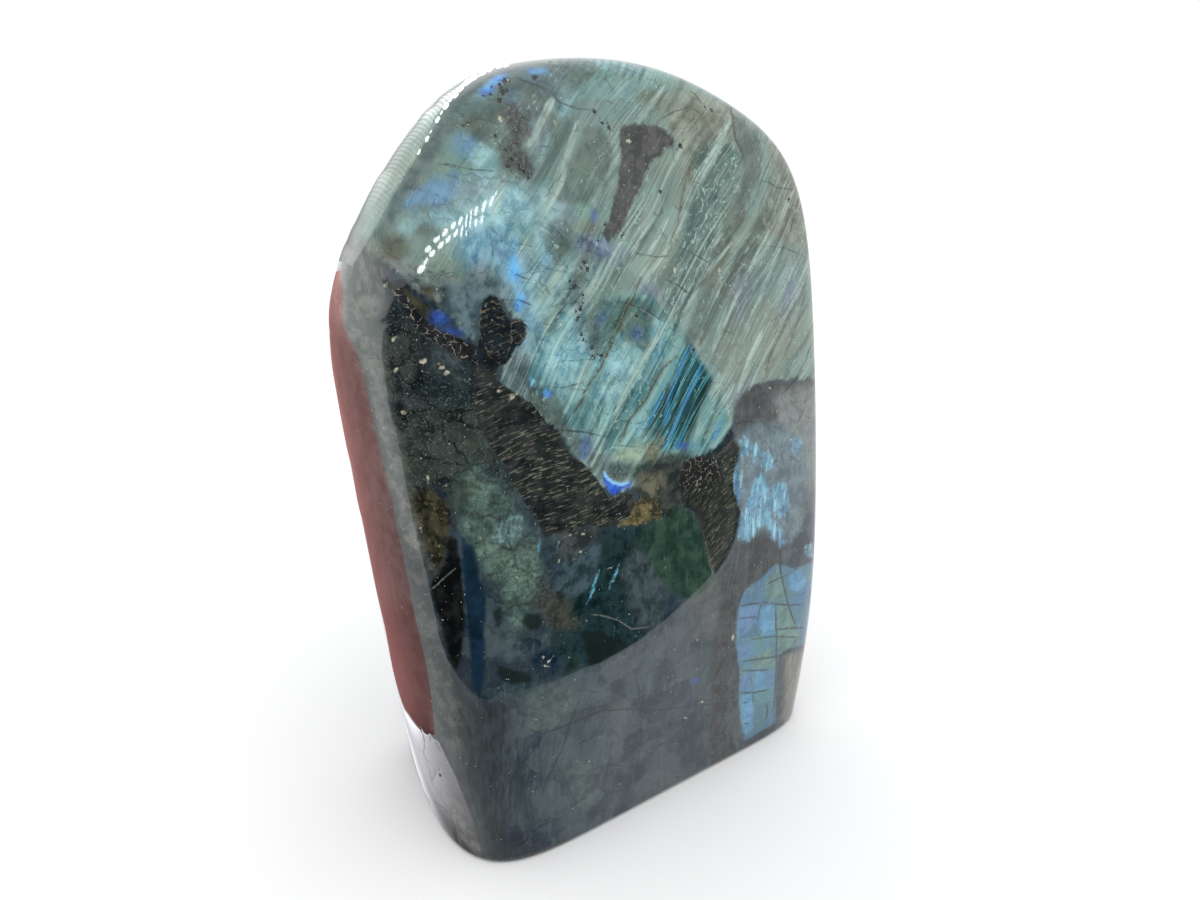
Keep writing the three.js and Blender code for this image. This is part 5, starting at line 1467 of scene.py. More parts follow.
face = mix(area("steelpatch", 3.0, 1.6, 1.6, 0.75), face, tone(blotch, 0.38, 0.64, colour(42, 52, 54), colour(76, 88, 92)))
face = mix(area("fan", 2.4, 2.2, 1.2, 0.55), face, tone(fray, -0.12, 0.12, colour(44, 50, 48), colour(84, 86, 80)))
moss = tone(blotch, 0.36, 0.64, colour(28, 50, 45), colour(54, 76, 64))
moss = mix(smooth(upright, 0.54, 0.70, 0.55), moss, colour(64, 92, 80))
moss = mix(smooth(mottle, 0.52, 0.66, 0.45), moss, colour(38, 54, 38))
face = mix(area("moss", 2.5, 1.0, 1.0), face, moss)
face = mix(area("ember", 3.0, 1.4, 1.4, 0.5), face, tone(blotch, 0.4, 0.6, colour(38, 38, 32), colour(72, 69, 56)))
face = mix(area("coal2", 1.4, 0.9, 0.5), face, tone(blotch, 0.45, 0.65, colour(7, 10, 11), colour(28, 29, 28)))
face = mix(area("navy", 1.2, 0.8, 0.5), face, tone(mottle, 0.38, 0.62, colour(10, 26, 38), colour(22, 44, 60)))
face = mix(area("void", 1.4, 0.8, 0.5, 0.85), face, colour(20, 30, 28))
ash = tone(blotch, 0.38, 0.62, veiled(55, 60, 63), veiled(80, 84, 85))
ash = mix(smooth(upright, 0.55, 0.72, 0.45), ash, veiled(114, 120, 120))
ash = mix(smooth(grain, 0.58, 0.76, 0.35), ash, veiled(120, 122, 120))
face = mix(area("ash", 2.6, 1.4, 0.9, 0.90), face, ash)
pearl = tone(blotch, 0.38, 0.64, veiled(122, 130, 128), veiled(144, 150, 148))
face = mix(area("frostpale", 4.0, 2.0, 2.4, 0.75), face, pearl)
frost = tone(blotch, 0.36, 0.64, veiled(98, 112, 120), veiled(122, 140, 146))
frost = mix(smooth(upright, 0.54, 0.74, 0.45), frost, veiled(138, 158, 164))
frost = mix(smooth(upright, 0.46, 0.30, 0.35), frost, veiled(84, 96, 102))
face = mix(area("frost", 3.5, 2.2, 1.8, 0.85), face, frost)
azures = tone(blotch, 0.38, 0.62, veiled(92, 134, 158), veiled(126, 174, 196))
azures = mix(smooth(mottle, 0.50, 0.62, 0.6), azures, veiled(132, 152, 180))
azures = mix(smooth(upright, 0.53, 0.64, 0.80), azures, veiled(168, 216, 226))
azures = mix(smooth(upright, 0.46, 0.36, 0.55), azures, veiled(86, 118, 136))
azures = mix(smooth(crackle, 0.05, 0.015) * smooth(mottle, 0.46, 0.56, 0.6), azures, veiled(70, 92, 104))
face = mix(area("azure", 2.2, 2.6, 0.7, 0.85), face, azures)
tile = tone(block, 0.15, 0.85, veiled(88, 118, 140), veiled(100, 140, 150))
tile = mix(smooth(blotch, 0.44, 0.62, 0.6), tile, veiled(104, 130, 130))
tile = mix(smooth(mottle, 0.52, 0.64, 0.5), tile, veiled(92, 130, 168))
tile = mix(area("tileblue", 1.6, 1.0, 0.8, 0.7), tile, tone(blotch, 0.4, 0.6, veiled(96, 122, 158), veiled(112, 144, 182)))
tile = mix(area("tileazure", 1.6, 1.0, 0.8, 0.75), tile, tone(blotch, 0.4, 0.6, veiled(96, 142, 176), veiled(118, 168, 206)))
tile = mix(area("tilegreen", 1.6, 1.0, 0.8, 0.8), tile, tone(blotch, 0.4, 0.6, veiled(98, 122, 114), veiled(122, 150, 138)))
tile = mix(smooth(upright, 0.56, 0.74, 0.35), tile, veiled(140, 168, 176))
tile = mix(smooth(grain, 0.44, 0.26, 0.3), tile, veiled(70, 92, 100))
face = mix(area("tiles", 1.2, 0.9, 0.4, 0.95), face, tile)
face = mix(area("brownedge", 3.0, 1.0, 1.4, 0.85), face, tone(upright, 0.4, 0.7, veiled(116, 117, 108), veiled(144, 144, 136)))
face = mix(smooth(drawn("royal") + edge * 1.6 + fray * 0.8, -0.9, 1.0, 0.80), face, tone(blotch, 0.4, 0.6, colour(38, 62, 136), colour(58, 92, 172)))
face = mix(smooth(drawn("glint") + edge * 0.8 + fray, -0.30, 0.25, 0.8), face, tone(hair, 0.4, 0.6, colour(70, 138, 170), colour(130, 200, 222)))
face = mix(area("nook", 2.4, 1.4, 1.2, 0.85), face, tone(blotch, 0.4, 0.62, colour(30, 37, 36), colour(68, 70, 62)))
face = mix(area("veilpatch", 3.0, 1.4, 1.4, 0.6), face, tone(blotch, 0.4, 0.62, colour(70, 70, 58), colour(122, 120, 100)))
face = mix(area("eyedark", 1.2, 0.8, 0.7, 0.8), face, tone(fray, -0.1, 0.1, colour(48, 62, 64), colour(84, 98, 98)))
face = mix(area("eye", 1.6, 1.0, 1.1, 0.75), face, tone(blotch, 0.38, 0.62, colour(126, 150, 130), colour(162, 184, 156)))
face = mix(area("rustpatch", 1.6, 1.6, 0.8, 0.65), face, tone(fray, -0.1, 0.1, colour(92, 88, 62), colour(124, 124, 98)))
face = mix(area("crescent", 0.6, 0.6, 0.6), face, tone(blotch, 0.4, 0.6, colour(40, 74, 170), colour(66, 112, 214)))
face = mix(smooth(drawn("cres") + fray * 0.4, -0.25, 0.15, 0.85), face, colour(138, 194, 236))
gold = tone(blotch, 0.40, 0.62, colour(52, 50, 38), colour(104, 96, 68))
gold = mix(smooth(fray, 0.04, 0.14, 0.55), gold, colour(138, 128, 94))
face = mix(area("gold", 2.0, 2.0, 0.35), face, gold)

# ---- dusky inclusions in the field
smoke = tone(blotch, 0.40, 0.62, veiled(64, 63, 66), veiled(88, 86, 86))
smoke = mix(smooth(hair, 0.58, 0.66) * smooth(blotch, 0.44, 0.56, 0.40), smoke, veiled(124, 114, 96))
smoke = mix(smooth(fray, 0.13, 0.20, 0.6), smoke, veiled(162, 152, 126))
smoke = mix(smooth(fray, -0.12, -0.18, 0.5), smoke, veiled(50, 50, 52))
face = mix(area("smoke", 1.6, 1.6, 0.5, 0.90), face, smoke)
smudge = tone(fray, -0.10, 0.12, veiled(54, 55, 54), veiled(98, 100, 97))
smudge = mix(smooth(grain, 0.64, 0.72, 0.55), smudge, veiled(172, 168, 152))
smudge = mix(smooth(grain, 0.43, 0.34, 0.8), smudge, colour(34, 32, 30))
face = mix(area("smudge", 4.0, 3.6, 1.2, 0.85), face, smudge)

# ---- the left flank and the milky, worn corner: partly the stone's own tone and partly painted reflection, lighter above and darker below to meet the mirrored brown board and the grey band along the rounded edge
face = mix(area("flank", 1.6, 0.6, 1.4, 0.92), face, tone(blotch, 0.38, 0.62, veiled(76, 77, 76), veiled(91, 91, 89)))
# painted shade: the lower flank is painted darker, where the mirrored brown board fades
face = mix(area("flanklow", 2.0, 0.6, 3.0, 0.92), face, tone(blotch, 0.38, 0.62, veiled(44, 46, 48), veiled(72, 74, 75)))
milk = tone(blotch, 0.40, 0.62, veiled(112, 116, 112), veiled(140, 142, 136))
# partly painted reflection: the milky corner's tone stands in for part of the grey band mirrored along the rounded edge
face = mix(area("corner", 2.0, 0.8, 2.2, 0.80), face, milk)
# painted shade: the corner is darker below, where that mirrored grey band fades
face = mix(area("cornerlow", 1.6, 0.8, 1.8, 0.80), face, tone(blotch, 0.40, 0.62, veiled(72, 75, 74), veiled(98, 100, 96)))
face = mix(area("milk", 2.5, 1.4, 1.4, 0.6), face, tone(blotch, 0.38, 0.62, veiled(96, 98, 96), veiled(132, 132, 126)))
smear = tone(blotch, 0.38, 0.62, veiled(84, 88, 88), veiled(116, 120, 116))
smear = mix(smooth(grain, 0.42, 0.34, 0.8), smear, veiled(44, 44, 42))
face = mix(area("veil2", 3.0, 3.0, 1.6, 0.55), face, smear)

# ---- black mineral with its tan cleavage ticks
ink = area("ink", 1.1, 1.1, 0.22)
wild_ink = smooth(noise(moved(Q, (200.0, 12.0, 31.0)), 0.05, 2.0, 0.6), 0.655, 0.67) * (1.0 - front)
ink = either(ink, wild_ink)
slanted = area("inkb", 0.5, 0.2, 0.5)
webbed = area("egg", 1.4, 1.0, 0.8)
hatch_a = noise(axes(UPRIGHT - 0.34 * LEVEL, LEVEL, (3.0, 0.21, 0.6), Q), 1.0, 1.0, 0.55)
hatch_b = noise(axes(UPRIGHT - 1.0 * LEVEL, LEVEL + 0.6 * UPRIGHT, (3.8, 0.26, 0.6), Q), 1.0, 1.0, 0.5)
yolk = area("yolk", 0.6, 0.4, 0.6)
line_a = smooth(hatch_a, 0.555, 0.640) * (1.0 - slanted) * (1.0 - webbed) * (1.0 - yolk * 0.75)
line_b = smooth(hatch_b, 0.540, 0.620) * slanted * (1.0 - webbed)
black = tone(blotch, 0.36, 0.64, colour(20, 25, 28), colour(48, 52, 50))
black = mix(smooth(mottle, 0.46, 0.58, 0.55), black, colour(32, 41, 37))
black = mix(smooth(hue, 0.44, 0.56) * smooth(blotch, 0.52, 0.64, 0.45), black, colour(52, 50, 49))
black = mix(webbed * 0.7, black, tone(blotch, 0.4, 0.6, colour(12, 14, 18), colour(36, 36, 38)))
black = mix(yolk * 0.85, black, tone(blotch, 0.4, 0.6, colour(11, 18, 24), colour(24, 34, 40)))
black = mix(slanted * 0.6, black, colour(30, 35, 31))
black = mix(slanted * smooth(blotch, 0.56, 0.68, 0.4), black, colour(62, 54, 42))
black = mix(line_a * smooth(mottle, 0.34, 0.52, 0.80), black, tone(fray, -0.1, 0.1, colour(72, 75, 66), colour(116, 116, 100)))
black = mix(line_b * smooth(mottle, 0.34, 0.56, 0.75), black, tone(fray, -0.1, 0.1, colour(62, 68, 54), colour(96, 100, 82)))
black = mix(smooth(crackle, 0.055, 0.015) * webbed * smooth(fray, -0.06, 0.02, 0.75), black, tone(fray, -0.1, 0.1, colour(84, 80, 76), colour(140, 136, 128)))
black = mix(smooth(drawn("etch") + fray * 0.8, -0.08, 0.10, 0.55), black, tone(fray, -0.1, 0.1, colour(78, 70, 52), colour(116, 108, 88)))
black = mix(smooth(fray, 0.17, 0.22, 0.45), black, colour(126, 120, 104))
face = mix(ink, face, black)

# ---- cracks, pits, chips, a few painted glints and dust
clear_of_ink = 1.0 - ink
crack_line = smooth(drawn("crack") + edge * 0.3 + fray * 0.40, -0.13, 0.12)
face = mix(crack_line * clear_of_ink * smooth(mottle, 0.28, 0.50, 0.82), face, mix(0.80, face, colour(32, 35, 27)))
brick_line = smooth(brick, 0.020, 0.007) * smooth(edge, -0.04, 0.06)
face = mix(brick_line * clear_of_ink * 0.55, face, mix(0.66, face, colour(34, 38, 28)))
small_line = smooth(crackle, 0.030, 0.010) * smooth(mottle, 0.53, 0.60)
face = mix(small_line * clear_of_ink * 0.22, face, mix(0.55, face, colour(36, 40, 32)))
face = mix(smooth(drawn("wisp") + edge * 0.5 + fray * 0.5, -0.16, 0.14) * clear_of_ink * smooth(mottle, 0.34, 0.54, 0.60), face, mix(0.6, face, colour(40, 44, 34)))
face = mix(smooth(drawn("vein") + fray * 0.4, -0.14, 0.10, 0.45), face, veiled(146, 148, 140))
face = mix(smooth(drawn("slit") + fray * 0.3, -0.14, 0.14, 0.9), face, colour(30, 31, 34))
face = mix(smooth(drawn("pit") + fray * 2.4, -0.14, 0.14, 0.92), face, colour(24, 23, 21))
# pale chips and specks; some of them are painted glints
face = mix(smooth(drawn("chip") + fray * 0.9, -0.14, 0.14, 0.70), face, tone(fray, -0.12, 0.12, colour(138, 136, 116), colour(200, 196, 174)))
dust_mask = smooth(dust, 0.850, 0.880)
face = mix(dust_mask * 0.75, face, colour(196, 206, 200))

shader = node("ShaderNodeBsdfPrincipled")
TREE.links.new(face.socket, shader.inputs["Base Color"])
shader.inputs["IOR"].default_value = 1.56
rough = 0.030 + smooth(blotch, 0.50, 0.75, 0.02) + ink * 0.10 + crack_line * 0.30
TREE.links.new(rough.socket, shader.inputs["Roughness"])
bump = node("ShaderNodeBump")
bump.inputs["Strength"].default_value = 0.05
bump.inputs["Distance"].default_value = 0.00001
feed(bump.inputs["Height"], noise(P, 2.4, 0.0))
TREE.links.new(bump.outputs["Normal"], shader.inputs["Normal"])
out = node("ShaderNodeOutputMaterial")
TREE.links.new(shader.outputs[0], out.inputs[0])
mesh.materials.append(stone_material)

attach(stone, "root")
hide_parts("labradorite_freeform")

# ------------------------------------------------------------------ the camera
scene = bpy.context.scene
scene.view_settings.view_transform = "Standard"
scene.view_settings.look = "None"

EYE = np.array([-121.946, -179.768, 165.626])
FORWARD = np.array([0.53717077, 0.76794903, -0.34885792])
RIGHT = np.array([0.82371531, -0.56661242, 0.02105823])
UP = np.array([0.18149558, 0.29867147, 0.93693901])
camera_data = bpy.data.cameras.new("camera")
camera_data.sensor_width = 36.0
camera_data.lens = 28.949
camera_data.clip_start = 0.01
camera_data.clip_end = 20.0
camera = bpy.data.objects.new("camera", camera_data)
scene.collection.objects.link(camera)
placed = np.eye(4)
placed[:3, 0], placed[:3, 1], placed[:3, 2], placed[:3, 3] = RIGHT, UP, -FORWARD, EYE * MM
camera.matrix_world = placed.T.tolist()
scene.camera = camera


# ------------------------------------------------------- floor, room and lights
def flat_material(name, albedo):
    material = bpy.data.materials.new(name)
    material.use_nodes = True
    principled = material.node_tree.nodes["Principled BSDF"]
    principled.inputs["Base Color"].default_value = (*albedo, 1)
    principled.inputs["Roughness"].default_value = 0.9
    principled.inputs["Specular IOR Level"].default_value = 0.1
    return material


def add_mesh(name, points, faces, material):
    data = bpy.data.meshes.new(name)
    data.from_pydata([tuple(map(float, p)) for p in points], [], [tuple(map(int, q)) for q in faces])
    data.materials.append(material)
    obj = bpy.data.objects.new(name, data)
    scene.collection.objects.link(obj)
    return obj


turns = np.linspace(0, 2 * math.pi, 96, endpoint=False)
floor_points = [(0, 0, -0.00004)] + [(6 * math.cos(a), 6 * math.sin(a), -0.00004) for a in turns]
floor = add_mesh("floor", floor_points, [(0, 1 + i, 1 + (i + 1) % 96) for i in range(96)], flat_material("pale_floor", (0.90, 0.90, 0.90)))

world = bpy.data.worlds.new("room")
scene.world = world
world.use_nodes = True
world.node_tree.nodes["Background"].inputs["Color"].default_value = (0.985, 0.99, 1.0, 1)
world.node_tree.nodes["Background"].inputs["Strength"].default_value = 1.03


sun_data = bpy.data.lights.new("overcast", "SUN")
sun_data.energy = 0.9
sun_data.angle = math.radians(80)
sun = bpy.data.objects.new("overcast", sun_data)
scene.collection.objects.link(sun)
sun.rotation_euler = (math.radians(24), math.radians(-16), 0)
sun.visible_glossy = False


# --------------------------------------------------------------- what it mirrors
def plane_to_surface(spots):
    """The polished surface straight behind points of the drawing plane."""
    spots = np.asarray(spots, float)
    start = spots[:, :1] * PLANE_U + spots[:, 1:] * PLANE_V
    mid = float(HEART @ PLANE_OUT)

    def fullness(w):
        g = np.maximum(1e-9, (start + w[:, None] * PLANE_OUT - HEART) @ NORMALS.T / DIST)
        return np.exp(np.minimum(60, SOFT * np.log(g))).sum(1)

    steps = mid + np.linspace(-80, 120, 161)
    fill = np.array([fullness(np.full(len(spots), w)) for w in steps])
    low = steps[fill.argmin(0)]
    high = low + 160.0
    for _ in range(46):
        m = (low + high) / 2
        outside = fullness(m) > 1
        high = np.where(outside, m, high)
        low = np.where(outside, low, m)
    return on_surface(start + low[:, None] * PLANE_OUT)


def mirrored(spots, far):
    """Where the eye sees these spots of the polish reflect, far mm away or just above the floor."""
    p = plane_to_surface(spots)
    n = surface_normals(p)
    v = EYE - p
    v /= np.linalg.norm(v, axis=1, keepdims=True)
    r = 2 * (n * v).sum(1, keepdims=True) * n - v
    t = np.full(len(p), float(far))
    down = r[:, 2] < -1e-3
    t[down] = np.minimum(t[down], (p[down, 2] - 156.0 / far) / -r[down, 2])
    return p + r * t[:, None]


def glow_card(name, spots, faces, far, shade, strength, ripple=None):
    """A card that only reflections see, lying where a patch of the polish mirrors."""
    material = bpy.data.materials.new(name)
    material.use_nodes = True
    material.cycles.emission_sampling = "NONE"
    t = material.node_tree
    t.nodes.clear()
    glow = t.nodes.new("ShaderNodeEmission")
    glow.inputs["Color"].default_value = (*shade, 1)
    glow.inputs["Strength"].default_value = strength
    end = t.nodes.new("ShaderNodeOutputMaterial")
    t.links.new(glow.outputs[0], end.inputs[0])
    obj = add_mesh(name, mirrored(spots, far) * MM, faces, material)
    if ripple is not None:
        layer = obj.data.attributes.new("ripple", "FLOAT", "POINT")
        layer.data.foreach_set("value", ripple.astype(np.float32))
        look = t.nodes.new("ShaderNodeAttribute")
        look.attribute_name = "ripple"
        t.links.new(look.outputs["Fac"], glow.inputs["Strength"])
    for flag in ("visible_camera", "visible_diffuse", "visible_transmission", "visible_volume_scatter", "visible_shadow"):
        setattr(obj, flag, False)
    return obj


def card(name, outline, far, shade, strength, rings, middle):
    """A card whose reflection fills an outline that is drawn round a middle point."""
    outline, middle = np.array(outline, float), np.array(middle, float)
    dense = []
    for a, b in zip(outline, np.roll(outline, -1, axis=0)):
        steps = max(1, int(np.linalg.norm(b - a) / 2.5))
        dense += [a + (b - a) * k / steps for k in range(steps)]
    dense = np.array(dense)
    spots = np.concatenate([middle[None]] + [middle + (dense - middle) * k / rings for k in range(1, rings + 1)])
    count = len(dense)
    faces = [(0, 1 + i, 1 + (i + 1) % count) for i in range(count)]
    for k in range(rings - 1):
        a, b = 1 + k * count, 1 + (k + 1) * count
        faces += [(a + i, b + i, b + (i + 1) % count, a + (i + 1) % count) for i in range(count)]
    return glow_card(name, spots, faces, far, shade, strength)


def strip_card(name, left, right, far, shade, strength, columns, levels=None, arcs=None, falls=None):
    """A card whose reflection fills the space between two chains of as many points.

    levels are its strengths from the left chain to the right one, falls are
    factors from the first row to the last, and arcs adds fine bars across it:
    (how many, how strong).
    """
    left, right = np.array(left, float), np.array(right, float)
    rows = len(left)
    if arcs:
        fine = arcs[0] * 6
        at = np.linspace(0, rows - 1, fine)
        left = np.stack([np.interp(at, np.arange(rows), left[:, k]) for k in (0, 1)], 1)
        right = np.stack([np.interp(at, np.arange(rows), right[:, k]) for k in (0, 1)], 1)
        rows = fine
    t = np.linspace(0, 1, columns + 1)
    spots = (left[:, None] * (1 - t)[None, :, None] + right[:, None] * t[None, :, None]).reshape(-1, 2)
    w = columns + 1
    faces = [(r * w + c, r * w + c + 1, (r + 1) * w + c + 1, (r + 1) * w + c) for r in range(rows - 1) for c in range(columns)]
    ripple = None
    if levels is not None:
        across = np.interp(t, np.linspace(0, 1, len(levels)), levels)
        ripple = np.repeat(across[None], rows, 0)
        if falls is not None:
            ripple *= np.interp(np.linspace(0, 1, rows), np.linspace(0, 1, len(falls)), falls)[:, None]
        if arcs:
            turn = np.linspace(0, arcs[0] * 2 * math.pi, rows)[:, None] + 2.4 * np.sin(t * math.pi)[None]
            fade = np.interp(np.linspace(0, 1, rows), (0, 0.12, 0.62, 0.85), (0.2, 1, 1, 0))[:, None]
            ripple = ripple * (1 + arcs[1] * np.sin(turn) * fade)
        ripple = ripple.ravel()
    return glow_card(name, spots, faces, far, shade, strength, ripple)

card("dark_window", [(-38.9, 105), (-40.1, 101.7), (-40.6, 98), (-40.1, 89.5), (-38.7, 82.1), (-37.8, 74.5), (-36.7, 66.7), (-35.3, 59.4), (-34.1, 52.3), (-32.5, 41.4), (-31.1, 37), (-29.1, 33.5), (-27.1, 31), (-24.6, 28.8), (-20.5, 30.4), (-16.4, 30.5), (-12.2, 30.8), (-7.7, 31.6), (-2.2, 33.1), (1, 33.4), (6.1, 35.2), (10.7, 37.2), (16.9, 40.9), (22, 44.5), (26, 47.6), (28.9, 50.1), (31.6, 53.3), (35, 59.8), (36.1, 66.2), (35.8, 72.3), (35, 79.4), (33, 84.8), (30, 90.9), (26.6, 96.8), (22.3, 102), (19.1, 106.2), (15.9, 107.8), (12.9, 111.2), (9.1, 114.8), (4.8, 117.8), (0.1, 120.2), (-5.1, 122.1), (-11, 122.6), (-16.6, 122), (-21, 120.2), (-25.2, 117.5), (-28.7, 114.7), (-32.2, 112.1), (-35.7, 109.1), (-37.7, 107.1)], 260, (0.9, 1.0, 1.0), 0.02, 14, (-8.1, 74))
strip_card("brown_board", [(-50.59, 114.16), (-51.93, 110.97), (-53.29, 107.85), (-52.81, 103.69), (-53.23, 100.1), (-53.7, 96.53), (-53.25, 92.68), (-53.07, 88.89), (-53.11, 85.07), (-52.82, 81.16), (-51.62, 77.31), (-51.66, 73.32), (-51.95, 69.07), (-50.62, 65.31), (-50.34, 61.09), (-50.06, 56.74), (-49.79, 52.26), (-49.54, 47.61), (-48.73, 43.15), (-47.9, 38.58), (-47.75, 32.88), (-47.9, 26.02), (-46.54, 21.19), (-44.26, 17.63), (-40.25, 17.21), (-35.84, 17.11)],
    [(-48.58, 113.53), (-47.91, 109.76), (-48, 106.39), (-48.22, 103.08), (-46.52, 100), (-45.31, 96.76), (-44.55, 93.44), (-44.05, 90.05), (-43.65, 86.59), (-43.11, 83.1), (-42.46, 79.57), (-41.73, 76.01), (-41.02, 72.4), (-40.69, 68.63), (-40.3, 64.81), (-39.71, 60.97), (-39.11, 57.07), (-38.61, 53.06), (-38.14, 48.98), (-37.59, 44.84), (-36.84, 40.72), (-36.17, 36.48), (-35.72, 32.06), (-35.31, 27.54), (-35.18, 22.77), (-35.04, 17.87)],
    260, (1.0, 0.44, 0.42), 1.0, 10, levels=(0.58, 0.60, 0.84, 1.14, 1.42), falls=(1.0, 1.1, 1.05, 0.80, 0.70, 0.55))
strip_card("bright_cloth", [(-46.65, 17.82), (-45.58, 15.88), (-45.63, 11.71), (-45.25, 8.14), (-44.57, 5.05), (-43.92, 1.88), (-43.13, -1.03), (-41.92, -3.11), (-40.78, -5.28), (-38.96, -5.43), (-37.62, -7.77), (-35.94, -9.02), (-34.06, -10.09), (-32.19, -11.95), (-29.87, -12.7), (-27.43, -13.51)],
    [(-46.48, 18.42), (-44.72, 16.48), (-41.84, 16.88), (-39.26, 16.67), (-36.28, 16.99), (-34.24, 15.9), (-33.07, 13.41), (-31.9, 10.88), (-30.76, 8.29), (-29.82, 5.48), (-28.87, 2.64), (-27.9, -0.24), (-26.98, -3.2), (-26.28, -6.37), (-25.84, -9.73), (-25.63, -13.25)],
    260, (0.95, 0.94, 1.0), 1.0, 8, levels=(1.5, 0.9, 1.3, 1.9, 2.5), falls=(1.05, 1.0, 1.0, 0.95, 0.75, 0.5, 0.4))
strip_card("dark_board", [(-31.16, 39.3), (-30.92, 36.69), (-30.68, 34.06), (-30.46, 31.38), (-30.29, 28.66), (-30.2, 25.88), (-30.08, 23.07), (-29.85, 20.25), (-29.62, 17.4), (-29.27, 14.56), (-28.87, 11.7), (-28.45, 8.81), (-27.84, 5.98), (-27.22, 3.11), (-26.58, 0.22), (-25.9, -2.71), (-25.27, -5.72), (-24.66, -8.79), (-24.2, -11.98), (-23.54, -13.78)],
    [(0.93, 35.96), (1.13, 33.69), (1.34, 31.39), (1.55, 29.06), (1.79, 26.68), (2.04, 24.27), (2.29, 21.82), (2.55, 19.33), (2.82, 16.8), (3.13, 14.21), (3.46, 11.57), (3.8, 8.88), (4.14, 6.14), (4.43, 3.37), (4.68, 0.56), (4.94, -2.3), (5.21, -5.21), (5.5, -8.16), (5.66, -9.76), (5.68, -9.89)],
    300, (0.9, 0.97, 1.0), 1.0, 10, levels=(0.80, 0.50, 0.42, 0.46, 0.54, 0.64, 0.76, 0.92), falls=(0.95, 1.0, 1.0, 1.0, 1.0))
